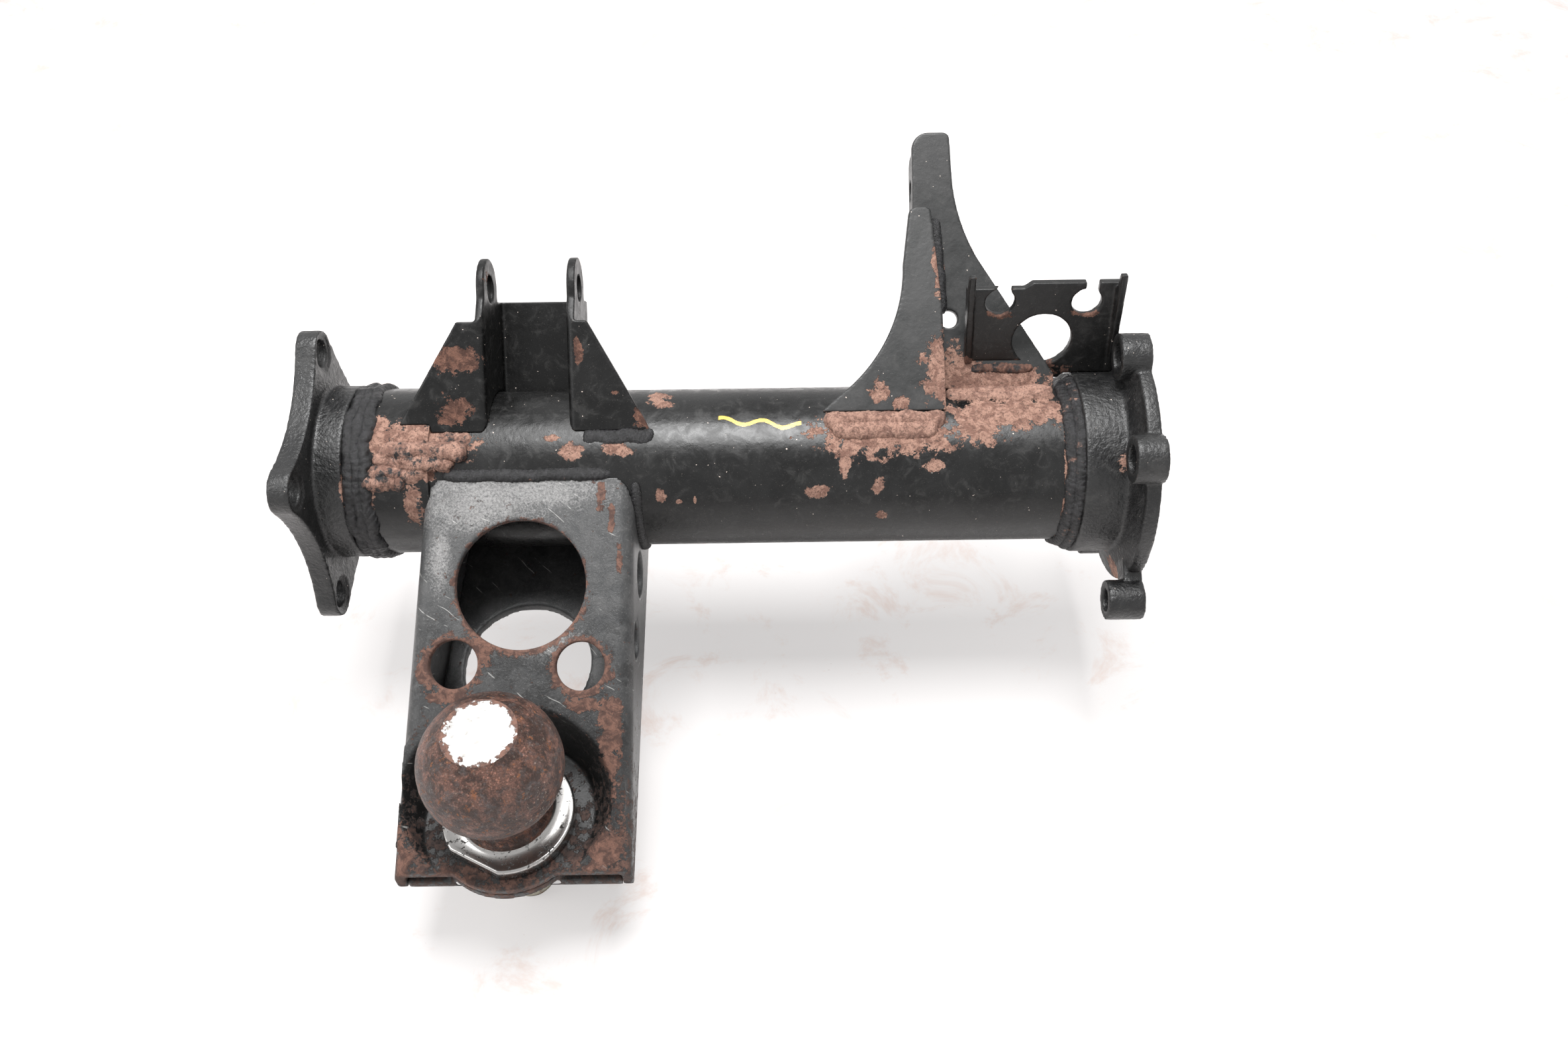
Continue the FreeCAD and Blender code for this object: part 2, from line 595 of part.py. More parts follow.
def side_band(upper, lower):
    """Block across the full width between two lines given as lists of YZ points."""
    outline = [Vec(-FAR, p.y, p.z) for p in upper + lower[::-1]]
    return profile(outline).extrude(Vec(FAR, 0, 0))


def pocket(offset):
    """Drafted round pocket for the ball's seat, grown outwards and down by an offset."""
    low = Part.makeCircle(SEAT_RADIUS + offset, Vec(BALL_X, BALL_Y, SEAT_Z - offset))
    mouth = Part.makeCircle(POCKET_MOUTH_RADIUS + offset,
                            Vec(BALL_X, BALL_Y + POCKET_MOUTH_SHIFT, SEAT_Z + POCKET_RISE))
    return Part.makeLoft([Part.Wire(low), Part.Wire(mouth)], True, True)


def hitch_fold(edge):
    """The two long upper bends of the channel."""
    box = edge.BoundBox
    return box.YLength > 100.0 and box.ZMax > 0.0 and box.ZLength > 60.0


def slope_hole(x, down, diameter):
    """Cylinder square to the sloping top, centred a distance down the slope."""
    top = slope_point(down, -HITCH_SHEET)
    bottom = slope_point(down, 3 * HITCH_SHEET)
    return Part.makeCylinder(diameter / 2, (bottom - top).Length, Vec(x, top.y, top.z), bottom - top)


def shank_hole():
    return post(SHANK_HOLE / 2, -FAR, 0)


def hitch_shell():
    """Folded channel: a sloping top and two side walls that reach down past the lower plate."""
    top_line = [slope_point(-TUBE_R), slope_point(HITCH_END_DOWN_SLOPE)]
    bottom_line = [lower_point(LOWER_START_Y, HITCH_SHEET), lower_point(hitch_end_y(), HITCH_SHEET)]
    solid = hitch_planform(0.0).common(side_band(top_line, bottom_line))
    solid = round_edges(solid, HITCH_FOLD_RADIUS, hitch_fold)
    under_line = [slope_point(-TUBE_R, HITCH_SHEET), slope_point(FAR, HITCH_SHEET)]
    inside = side_band(under_line, [Vec(0, FAR, -FAR), Vec(0, -FAR, -FAR)])
    return solid.cut(hitch_planform(HITCH_SHEET).common(inside))


def hitch_upper_channel():
    below = side_band([slope_point(-TUBE_R), slope_point(HITCH_END_DOWN_SLOPE)],
                      [Vec(0, TUBE_R, -FAR), Vec(0, hitch_end_y(), -FAR)])
    cup = pocket(HITCH_SHEET).common(below).common(hitch_planform(BEAD_SINK))
    nose = post(NOSE_RADIUS, SEAT_Z - HITCH_SHEET, SEAT_Z)
    shell = hitch_shell().fuse(cup).cut(pocket(0.0)).fuse(nose)
    shell = shell.cut(slope_hole(LARGE_HOLE_X, LARGE_HOLE_DOWN_SLOPE, LARGE_HOLE))
    for x, down in CHAIN_HOLES:
        shell = shell.cut(slope_hole(x, down, CHAIN_HOLE))
    for y, z, size in WALL_HOLES:
        start = HITCH_RIGHT_X - 2 * HITCH_SHEET
        shell = shell.cut(rod(start, HITCH_RIGHT_X + 1, size / 2, Vec(0, y, z)))
    shell = clear_sleeve(clear_tube(shell.cut(shank_hole())))
    return largest(shell.removeSplitter())


def hitch_lower_plate():
    y1 = hitch_end_y()
    top_line = [lower_point(LOWER_START_Y), lower_point(y1)]
    under_line = [lower_point(LOWER_START_Y, HITCH_SHEET), lower_point(y1, HITCH_SHEET)]
    room = hitch_planform(HITCH_SHEET + SEAT_GAP)
    below = side_band(top_line, [Vec(0, LOWER_START_Y, -FAR), Vec(0, y1, -FAR)])
    cup = pocket(2 * HITCH_SHEET).common(below).common(room)
    plate = side_band(top_line, under_line).common(room).fuse(cup)
    plate = plate.cut(pocket(HITCH_SHEET + SEAT_GAP))
    floor = SEAT_Z - HITCH_SHEET - SEAT_GAP
    plate = plate.cut(post(NOSE_RADIUS, floor - 2 * HITCH_SHEET, floor))
    plate = plate.fuse(post(NOSE_RADIUS, floor - HITCH_SHEET, floor))
    plate = plate.cut(post(LOWER_HOLE / 2, -FAR, 0, LOWER_HOLE_X, LOWER_HOLE_Y))
    plate = clear_tube(plate.cut(shank_hole()))
    return plate.cut(hitch_upper_channel()).removeSplitter()


def hitch_top_weld():
    tangent = slope_point(0.0)
    angle = math.degrees(math.atan2(tangent.z, -tangent.y)) - TOP_BEAD_BACK_ANGLE
    bead = bead_line(HITCH_LEFT_X_AT_TUBE + TOP_BEAD_INSET, HITCH_RIGHT_X - TOP_BEAD_INSET,
                     polar(TUBE_R + BEAD_SINK, angle), TOP_BEAD_RADIUS)
    return clear_tube(bead).cut(hitch_upper_channel()).removeSplitter()


def hitch_side_weld(x):
    """Bead round the tube where a hitch wall meets it, on the wall's outer side."""
    bead = bead_ring(x, SIDE_BEAD_WIDTH, TUBE_R - BEAD_SINK, SIDE_BEAD_HEIGHT, SIDE_BEAD_START,
                     SIDE_BEAD_SWEEP)
    bead = clear_tube(bead).cut(hitch_upper_channel())
    return largest(clear_sleeve(bead))


def hitch_lower_weld():
    """Bead across the tube's underside at the end of the lower plate."""
    end = lower_point(LOWER_START_Y + BEAD_SINK, HITCH_SHEET / 2)
    bead = bead_line(left_x(0) + LOWER_BEAD_INSET, HITCH_RIGHT_X - LOWER_BEAD_INSET, end,
                     LOWER_BEAD_RADIUS)
    bead = clear_sleeve(clear_tube(bead)).cut(hitch_lower_plate())
    return largest(bead.cut(hitch_upper_channel()))


def ball_stud():
    centre = Vec(BALL_X, BALL_Y, SEAT_Z + BALL_CENTRE_HEIGHT)
    radius = BALL_DIAMETER / 2
    flat_height = math.sqrt(radius ** 2 - (BALL_FLAT / 2) ** 2)
    ball = Part.makeSphere(radius, centre)
    ball = ball.cut(post(radius + 1, centre.z + flat_height, centre.z + radius + 1))
    top = SEAT_Z + COLLAR
    neck = post(NECK_DIAMETER / 2, top - 1, centre.z)
    step = post(NECK_STEP_DIAMETER / 2, top - 1, top + NECK_STEP)
    collar = post(COLLAR_DIAMETER / 2, SEAT_Z, top)
    collar = round_edges(collar, COLLAR_ROUND, lambda e: e.BoundBox.ZMin > SEAT_Z)
    half = COLLAR_ACROSS_FLATS / 2
    flats = block(-COLLAR_DIAMETER, COLLAR_DIAMETER, -half, half, SEAT_Z - 1, top + 1)
    flats.rotate(ORIGIN, Z_AXIS, COLLAR_FLAT_ANGLE)
    flats.translate(Vec(BALL_X, BALL_Y, 0))
    shank = post(SHANK_DIAMETER / 2, SEAT_Z - SHANK_LENGTH, SEAT_Z + 1)
    tip = [e for e in shank.Edges if e.BoundBox.ZMax < SEAT_Z - SHANK_LENGTH + SEAT_GAP]
    shank = shank.makeChamfer(SHANK_CHAMFER, tip)
    return ball.fuse([neck, step, collar.common(flats), shank]).removeSplitter()


def lower_floor():
    """Height of the underside of the lower plate at the ball's seat."""
    return SEAT_Z - 2 * HITCH_SHEET - SEAT_GAP


def lock_washer():
    top = lower_floor() - SEAT_GAP
    ring = post(WASHER_OD / 2, top - WASHER, top).cut(post(SHANK_HOLE / 2, top - WASHER - 1, top + 1))
    gap = block(0, WASHER_OD, -WASHER_GAP / 2, WASHER_GAP / 2, -1, WASHER + 1)
    gap.rotate(ORIGIN, X_AXIS, WASHER_GAP_LEAN)
    gap.rotate(ORIGIN, Z_AXIS, WASHER_GAP_ANGLE)
    gap.translate(Vec(BALL_X, BALL_Y, top - WASHER))
    return largest(ring.cut(gap))


def hex_nut():
    top = lower_floor() - 2 * SEAT_GAP - WASHER
    low = top - NUT_HEIGHT
    corner = NUT_ACROSS_FLATS / math.sqrt(3)
    corners = []
    for i in range(6):
        turn = math.radians(60 * i)
        corners.append(Vec(BALL_X + corner * math.cos(turn), BALL_Y + corner * math.sin(turn), low))
    nut = profile(corners).extrude(Vec(0, 0, NUT_HEIGHT))
    face = NUT_ACROSS_FLATS / 2
    wide = face + NUT_HEIGHT / math.tan(math.radians(NUT_CHAMFER_ANGLE))
    at = Vec(BALL_X, BALL_Y, low)
    nut = nut.common(Part.makeCone(face, wide, NUT_HEIGHT, at, Z_AXIS))
    nut = nut.common(Part.makeCone(wide, face, NUT_HEIGHT, at, Z_AXIS))
    return nut.cut(post(NUT_BORE / 2, low - 1, top + 1)).removeSplitter()


NODES = {
    "axle_tube": axle_tube,
    "tube_sleeve": tube_sleeve,
    "outer_flange": outer_flange,
    "inner_flange": inner_flange,
    "outer_flange_weld": outer_flange_weld,
    "inner_flange_weld": inner_flange_weld,
    "shock_bracket": shock_bracket,
    "shock_weld_left": lambda: shock_weld(*SHOCK_LEFT_BEAD),
    "shock_weld_right": lambda: shock_weld(*SHOCK_RIGHT_BEAD),
    "arm_plate": arm_plate,
    "arm_gusset": arm_gusset,
    "arm_seam_weld": arm_seam_weld,
    "arm_gusset_weld": arm_gusset_weld,
    "arm_plate_weld": arm_plate_weld,
    "guide_bracket": guide_bracket,
    "guide_weld": guide_weld,
    "hitch_upper_channel": hitch_upper_channel,
    "hitch_lower_plate": hitch_lower_plate,
    "hitch_top_weld": hitch_top_weld,
    "hitch_side_weld_left": lambda: hitch_side_weld(HITCH_LEFT_X_AT_TUBE - BEAD_SINK),
    "hitch_side_weld_right": lambda: hitch_side_weld(HITCH_RIGHT_X + BEAD_SINK),
    "hitch_lower_weld": hitch_lower_weld,
    "ball_stud": ball_stud,
    "lock_washer": lock_washer,
    "hex_nut": hex_nut,
}

os.makedirs("parts", exist_ok=True)
for name, make in NODES.items():
    make().exportStep("parts/" + name + ".step")
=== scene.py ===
import math

import bmesh
import bpy
from mathutils import Matrix, Vector, noise


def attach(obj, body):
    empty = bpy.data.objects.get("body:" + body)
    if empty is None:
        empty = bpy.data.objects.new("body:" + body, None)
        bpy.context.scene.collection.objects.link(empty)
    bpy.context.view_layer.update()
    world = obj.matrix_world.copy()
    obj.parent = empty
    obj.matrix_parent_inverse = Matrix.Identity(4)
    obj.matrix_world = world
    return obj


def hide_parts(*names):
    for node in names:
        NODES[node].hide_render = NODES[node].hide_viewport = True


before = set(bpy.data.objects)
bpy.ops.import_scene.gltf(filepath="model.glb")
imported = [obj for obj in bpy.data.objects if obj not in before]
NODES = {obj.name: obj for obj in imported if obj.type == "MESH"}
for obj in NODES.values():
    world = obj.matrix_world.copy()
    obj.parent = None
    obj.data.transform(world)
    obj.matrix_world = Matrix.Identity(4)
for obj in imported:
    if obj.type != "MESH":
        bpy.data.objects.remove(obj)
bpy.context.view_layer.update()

# A rear axle housing with a trailer hitch: welded, painted black, and worn and rusted in use.
MM = 0.001
HOUSING = "housing"

# Sizes in millimetres, in the CAD's frame: X along the axle, Z up, -Y towards the ball
TUBE_R = 31.0
SLEEVE_R = 32.8
BALL_AT = (-240.8, -125.8)
SEAT_Z = -53.4
BALL_R = 25.4
BALL_CENTRE_Z = SEAT_Z + 39.85
BALL_FLAT_R = 13.0
NECK_R = 15.25
COLLAR_R = 24.25
COLLAR_TOP = SEAT_Z + 6.0
COLLAR_HALF_FLATS = 22.0
COLLAR_FLAT_ANGLE = math.radians(-27.0)
SHANK_R = 9.52
SHANK_END = SEAT_Z - 50.8
THREAD_PITCH = 2.54
THREAD_DEPTH = 1.3
THREAD_END = SEAT_Z - 9.0
SHANK_TIP_R = SHANK_R - 1.8
SHANK_CHAMFER = 1.6
SHANK_CHAMFER_HEIGHT = 1.8
SEAT_LIFT = 0.02
COLLAR_CHAMFER = 0.5
COLLAR_ROUND = 1.0
FLOOR_Z = SHANK_END - 1.0

# How finely the ball and its thread are cut, and how far apart the points of a bead's path lie
BALL_SIDES = 220
BALL_STEPS = 110
THREAD_STEPS = 9
RING_STEP_DEGREES = 3.0
LINE_STEP = 4.0

# Width of the lumps in a casting's skin; width and depth of the ball's pits and of its dents,
# and how far its skin has rusted away
SKIN_GRIT = 2.0
PIT_WIDTH, PIT_DEPTH = 2.2, 0.10
DENT_WIDTH, DENT_DEPTH = 11.0, 0.12
SKIN_LOSS = 0.2

# Fillet from the collar to the neck, and the step above it: how far outside the neck, how far up
NECK_FILLET = ((2.6, 0.15), (1.4, 1.2))
NECK_STEP = ((1.2, 4.6), (0.3, 5.2), (0.0, 7.0))

# The hitch's sloping plate: rise for each millimetre of Y, the Y where it crosses the axle's height,
# the Y where the ball's pocket starts, and its round holes as centre and radius
PLATE_SLOPE = 0.6
PLATE_LEVEL_Y = -57.9
POCKET_START_Y = -95.0
PLATE_HOLES = (((-236.8, -57.9, -0.1), 24.3), ((-261.1, -83.0, -15.2), 9.0), ((-214.2, -84.0, -15.9), 9.0))

# Foot of the shock absorber bracket: up its sheet, out of it, and its lean in degrees; then the passes
# beside its left cheek, each by its angle round the axle and the X where it starts and ends
SHOCK_FOOT = (12.8, 27.0, 46.5)
SHOCK_LEFT_PASSES = ((60.0, -291.0, -257.0), (53.0, -293.0, -262.0), (46.0, -295.0, -272.0),
                     (40.0, -297.0, -280.0))

# Seam of the arm: X and distance up its sheet at either end, distance out of it, and its lean in degrees
ARM_SEAM = ((-76.3, 57.0), (-78.5, 95.0))
ARM_SEAM_OUT = 14.6
ARM_TILT = 40.0
SEAM_PARTS = 8

# Camera in millimetres and degrees
CAMERA_AT = (-138.31, -341.12, 373.00)
CAMERA_ELEVATION = 50.0
CAMERA_ROLL = 0.82
CAMERA_LENS = 28.885
CAMERA_SENSOR = 36.0

# Studio lamps in metres and watts: name, place, width and power
LAMPS = (("overhead", (-0.16, 0.12, 1.0), 0.5, 16.0), ("left_fill", (-1.2, -0.3, 0.8), 0.6, 6.0))
LAMP_AIM = (-0.16, -0.03, 0.0)


def millimetres(*values):
    """A point given in millimetres, in metres."""
    return Vector(values) * MM


def linear(colour):
    """An sRGB hex colour as linear RGBA."""
    channels = [int(colour[i:i + 2], 16) / 255 for i in (1, 3, 5)]
    return [c / 12.92 if c <= 0.04045 else ((c + 0.055) / 1.055) ** 2.4 for c in channels] + [1.0]


def add(tree, kind, inputs=None, **settings):
    """Add a node with its settings; each input is a value or a socket to link from."""
    node = tree.nodes.new(kind)
    for name, value in settings.items():
        setattr(node, name, value)
    for key, value in (inputs or {}).items():
        if isinstance(value, bpy.types.NodeSocket):
            tree.links.new(value, node.inputs[key])
        else:
            node.inputs[key].default_value = value
    return node


def maths(tree, operation, a, b=0.0):
    return add(tree, "ShaderNodeMath", {0: a, 1: b}, operation=operation).outputs[0]


def swing(tree, value, scale, middle=0.5):
    """A value's distance from a middle level, scaled."""
    return maths(tree, "MULTIPLY", maths(tree, "SUBTRACT", value, middle), scale)


def ramp(tree, value, low, high, to_low=0.0, to_high=1.0):
    """Smooth step of a value between low and high."""
    node = add(tree, "ShaderNodeMapRange", {"Value": value, "From Min": low, "From Max": high,
                                            "To Min": to_low, "To Max": to_high},
               interpolation_type="SMOOTHSTEP")
    return node.outputs["Result"]


def grain(tree, place, size, detail=4.0, roughness=0.6, warp=0.0):
    """Noise whose lumps are about size millimetres across."""
    node = add(tree, "ShaderNodeTexNoise", {"Vector": place, "Scale": 1.0 / size, "Detail": detail,
                                            "Roughness": roughness, "Distortion": warp})
    return node.outputs["Fac"]


def blend(tree, share, a, b):
    """Mix of two colours, each a hex value or a socket."""
    a = linear(a) if isinstance(a, str) else a
    b = linear(b) if isinstance(b, str) else b
    node = add(tree, "ShaderNodeMix", {0: share, 6: a, 7: b}, data_type="RGBA")
    return node.outputs[2]


def mix_value(tree, share, a, b):
    return add(tree, "ShaderNodeMix", {0: share, 2: a, 3: b}, data_type="FLOAT").outputs[0]


def new_material(name):
    """An empty material, its tree, its shader, and Object coordinates in millimetres."""
    material = bpy.data.materials.new(name)
    material.use_nodes = True
    tree = material.node_tree
    tree.nodes.clear()
    shader = add(tree, "ShaderNodeBsdfPrincipled")
    add(tree, "ShaderNodeOutputMaterial", {"Surface": shader.outputs[0]})
    coords = add(tree, "ShaderNodeTexCoord")
    place = add(tree, "ShaderNodeVectorMath", {0: coords.outputs["Object"], "Scale": 1.0 / MM},
                operation="SCALE").outputs[0]
    return material, tree, shader, place


def nearest_spot(tree, place, spots):
    """Distance to the nearest of several ellipsoids, 1 at an ellipsoid's surface and 9 at most."""
    best = 9.0
    for centre, radii in spots:
        along, across = radii
        offset = add(tree, "ShaderNodeVectorMath", {0: place, 1: centre}, operation="SUBTRACT")
        shares = (1 / along, 1 / across, 1 / across)
        scaled = add(tree, "ShaderNodeVectorMath", {0: offset.outputs[0], 1: shares}, operation="MULTIPLY")
        size = add(tree, "ShaderNodeVectorMath", {0: scaled.outputs[0]}, operation="LENGTH")
        best = maths(tree, "MINIMUM", size.outputs["Value"], best)
    return best


def ragged(tree, place, distance, edge=0.7, grit=0.5):
    """Mask of 1 inside the spots, their edges broken up like flaking paint."""
    coarse = swing(tree, grain(tree, place, 4.5, 5.0, 0.62), edge * 4)
    fine = swing(tree, grain(tree, place, 1.0, 3.0, 0.7), grit * 2)
    shifted = maths(tree, "ADD", maths(tree, "ADD", distance, coarse), fine)
    return ramp(tree, shifted, 1.04, 0.94)


SALMON_RUST = ("#7f5f53", "#a98575", "#c09d8e")
BROWN_RUST = ("#4a342d", "#775649", "#946f61")


def rust_colour(tree, place, tones=SALMON_RUST):
    """Dry rust in layers, with dark grit about half a millimetre across."""
    broad = ramp(tree, grain(tree, place, 4.0, 5.0, 0.65, 0.8), 0.4, 0.58)
    fine = ramp(tree, grain(tree, place, 0.9, 5.0, 0.85), 0.48, 0.62)
    dark, middle, light = tones
    colour = blend(tree, broad, dark, middle)
    pale = ramp(tree, grain(tree, place, 1.6, 4.0, 0.7), 0.58, 0.66)
    colour = blend(tree, maths(tree, "MULTIPLY", pale, 0.4), colour, light)
    return blend(tree, maths(tree, "MULTIPLY", fine, 0.8), colour, "#4e3a33")


def finish(tree, shader, colour, roughness, height, strength, distance, metallic=0.0):
    """Connect a colour, roughness, metallic and bump height to the shader."""
    bump = add(tree, "ShaderNodeBump", {"Height": height, "Strength": strength, "Distance": distance})
    tree.links.new(bump.outputs[0], shader.inputs["Normal"])
    for name, value in (("Base Color", colour), ("Roughness", roughness), ("Metallic", metallic)):
        if isinstance(value, bpy.types.NodeSocket):
            tree.links.new(value, shader.inputs[name])
        else:
            shader.inputs[name].default_value = value


def worn_edges(tree, place, low, high):
    """Mask of 1 along a piece's outer corners, where handling rubs the paint off."""
    point = add(tree, "ShaderNodeNewGeometry").outputs["Pointiness"]
    broken = swing(tree, grain(tree, place, 2.2, 5.0, 0.7), 0.16)
    return ramp(tree, maths(tree, "ADD", point, broken), low, high)


def enamel(name, paint, dusty, spots, freckles=0.72, gloss=0.36, cast=0.0, edges=0.0, sheen=0.5,
           rust=SALMON_RUST, stroke=False, fresh=()):
    """Satin black baked enamel over steel: deep and uneven, with a soft sheen, brown where it flakes.

    spots are the bare rusty places, freckles the noise level above which pin-head rust shows,
    gloss the roughness of the shiniest paint, cast the height in millimetres of the sand-cast
    texture under the paint, edges how far the corners are worn, sheen the strength of the
    highlight, stroke whether paint-marker crosses the top, and fresh the places brushed over
    with new black paint.
    """
    material, tree, shader, place = new_material(name)
    shader.inputs["Specular IOR Level"].default_value = sheen
    cloud = grain(tree, place, 24.0, 5.0, 0.6, 0.6)
    smear = grain(tree, place, 6.0, 5.0, 0.7, 0.8)
    colour = blend(tree, ramp(tree, cloud, 0.36, 0.66), paint, dusty)
    colour = blend(tree, ramp(tree, smear, 0.5, 0.72, 0.0, 0.3), colour, "#4b4a49")
    scuff = ramp(tree, grain(tree, place, 0.5, 3.0, 0.8), 0.63, 0.72)
    colour = blend(tree, maths(tree, "MULTIPLY", scuff, 0.35), colour, "#8b8580")
    dots = ramp(tree, grain(tree, place, 1.1, 1.0, 0.4), 0.79, 0.81)
    colour = blend(tree, dots, colour, "#c9bcb2")
    if fresh:
        brushed = ragged(tree, place, nearest_spot(tree, place, fresh), 0.5, 0.1)
        colour = blend(tree, brushed, colour, "#0b0b0b")
    mask = ramp(tree, grain(tree, place, 1.9, 6.0, 0.72), freckles, freckles + 0.035)
    if edges:
        rubbed = maths(tree, "MULTIPLY", worn_edges(tree, place, 0.56, 0.63), edges)
        mask = maths(tree, "MAXIMUM", mask, rubbed)
    if stroke:
        colour = blend(tree, paint_stroke(tree, place), colour, "#e3c25c")
    if spots:
        mask = maths(tree, "MAXIMUM", mask, ragged(tree, place, nearest_spot(tree, place, spots)))
    colour = blend(tree, mask, colour, rust_colour(tree, place, rust))
    roughness = mix_value(tree, mask, ramp(tree, smear, 0.3, 0.7, gloss, gloss + 0.2), 0.9)
    sand = maths(tree, "MULTIPLY", grain(tree, place, 1.3, 3.0, 0.6), cast)
    peel = maths(tree, "MULTIPLY", grain(tree, place, 2.5, 3.0), 0.09)
    pitted = maths(tree, "SUBTRACT", maths(tree, "MULTIPLY", grain(tree, place, 0.7, 4.0, 0.8), 0.5), 0.4)
    scale = maths(tree, "MULTIPLY", mask, pitted)
    height = maths(tree, "ADD", maths(tree, "ADD", sand, peel), scale)
    finish(tree, shader, colour, roughness, height, 1.0, MM)
    return material


def paint_stroke(tree, place):
    """Mask of a short wavering stroke of paint-marker along the top of the tube."""
    axes = add(tree, "ShaderNodeSeparateXYZ", {0: place}).outputs
    wave = maths(tree, "MULTIPLY", maths(tree, "SINE", maths(tree, "MULTIPLY", axes["X"], 0.42)), 1.3)
    middle = maths(tree, "ADD", maths(tree, "MULTIPLY", axes["X"], -0.1), wave)
    middle = maths(tree, "ADD", middle, -20.5)
    offset = maths(tree, "ABSOLUTE", maths(tree, "SUBTRACT", axes["Y"], middle))
    offset = maths(tree, "ADD", offset, swing(tree, grain(tree, place, 1.5, 3.0), 0.9))
    line = ramp(tree, offset, 1.0, 0.75)
    ends = ramp(tree, maths(tree, "ABSOLUTE", maths(tree, "ADD", axes["X"], 147.0)), 16.0, 15.4)
    upper = ramp(tree, axes["Z"], 10.0, 11.0)
    return maths(tree, "MULTIPLY", maths(tree, "MULTIPLY", line, ends), upper)


# Bare rusty places: centre in millimetres, then half-length along the axle and half-width across it
TUBE_SPOTS = (
    ((-274, -13, 30), (16.8, 9.5)),
    ((-298, -27, 19), (5.0, 9.0)),
    ((-278, -30, 13), (3.3, 9.0)),
    ((-272, -24, 23), (2.4, 3.2)),
    ((-226, -11, 29), (2.8, 1.3)),
    ((-218, -16, 26), (4.7, 3.2)),
    ((-201, -15, 27), (5.7, 2.6)),
    ((-184, 5, 31), (4.5, 2.8)),
    ((-185, -28, 14), (1.8, 3.0)),
    ((-125, -27, 15), (4.5, 2.5)),
    ((-81, -22, 22), (3.7, 2.5)),
    ((-115, -21, 23), (1.8, 5.2)),
    ((-101, -31, 5), (2.0, 2.0)),
    ((-102, -26, 16), (2.3, 2.8)),
    ((-178, -29, 12), (1.2, 0.9)),
    ((-172, -28, 12), (0.6, 1.5)),
    ((-53, -2, 31), (24.0, 8.0)),
    ((-64, -7, 31), (10.5, 9.0)),
    ((-98, -11, 30), (28.5, 8.5)),
    ((-31, -21, 25), (1.2, 15.0)),
    ((-31, -31, 4), (1.0, 11.0)),
    ((-291, -10, 32), (4.0, 8.0)),
    ((-268, -19, 27), (6.0, 4.0)),
    ((-186, 10, 31), (4.0, 5.0)),
)
CASTING_SPOTS = (
    ((-10, -25, 26), (3.2, 3.5)),
    ((0, -33, -13), (3.0, 5.0)),
    ((-303, -27, 20), (2.0, 7.0)),
    ((-6, -34, -28), (4.0, 6.0)),
    ((-12, -30, -26), (3.0, 4.0)),
)
BRACKET_SPOTS = (
    ((-261, 10, 50), (7.6, 5.4)),
    ((-263, -3, 36), (6.3, 5.0)),
    ((-215, 12, 52), (1.5, 6.0)),
    ((-201, 1, 41), (1.7, 1.1)),
    ((-190, -5, 34), (4.1, 4.6)),
    ((-252, 38, 64), (2.0, 5.0)),
)
GUIDE_SPOTS = (
    ((-50, 20, 31), (20.0, 5.0)),
    ((-55, 24, 57), (4.8, 2.0)),
    ((-22, 24, 57), (5.3, 1.8)),
    ((-66, 20, 33), (2.5, 5.0)),
)
ARM_SPOTS = (
    ((-75, 11, 39), (8.5, 14.5)),
    ((-77, 44, 63), (2.6, 10.5)),
    ((-93, 1, 33), (2.8, 2.3)),
    ((-101, 5, 36), (3.5, 4.6)),
    ((-67, 14, 31), (9.0, 10.0)),
    ((-52, 15, 31), (18.0, 5.0)),
)
PLATE_RUST_SPOTS = (
    ((-210, -22, 21), (3.7, 3.0)),
    ((-207, -29, 17), (1.6, 5.0)),
    ((-203, -38, 12), (1.2, 6.0)),
    ((-200, -50, 5), (1.0, 5.0)),
    ((-250, -79, -12), (4.0, 5.0)),
    ((-272, -86, -17), (3.0, 7.0)),
    ((-262, -93, -22), (8.0, 3.0)),
    ((-240, -101, -26), (14.0, 4.5)),
    ((-212, -96, -24), (8.0, 3.0)),
    ((-203, -106, -29), (4.0, 18.0)),
    ((-204, -142, -49), (6.0, 10.0)),
    ((-278, -146, -52), (3.0, 12.0)),
    ((-262, -150, -54), (10.0, 4.0)),
    ((-241, -161, -54), (22.0, 4.0)),
)
# Places scoured to bare steel, and places brushed over with new paint, given in the same way
PLATE_WEAR_SPOTS = (
    ((-252, -30, 16), (18.0, 9.0)),
    ((-232, -27, 17), (20.0, 5.0)),
    ((-226, -76, -11), (8.0, 4.0)),
    ((-267, -48, 6), (3.0, 10.0)),
)
FRESH_PAINT = (
    ((-291, -30, 0), (17.0, 15.0)),
    ((-283, -20, -20), (12.0, 14.0)),
)


def hole_rims(tree, place):
    """Millimetres from the nearest rim of the sloping plate's three round holes, 99 at most."""
    best = 99.0
    for centre, radius in PLATE_HOLES:
        offset = add(tree, "ShaderNodeVectorMath", {0: place, 1: centre}, operation="SUBTRACT")
        size = add(tree, "ShaderNodeVectorMath", {0: offset.outputs[0]}, operation="LENGTH")
        rim = maths(tree, "ABSOLUTE", maths(tree, "SUBTRACT", size.outputs["Value"], radius))
        best = maths(tree, "MINIMUM", rim, best)
    return best


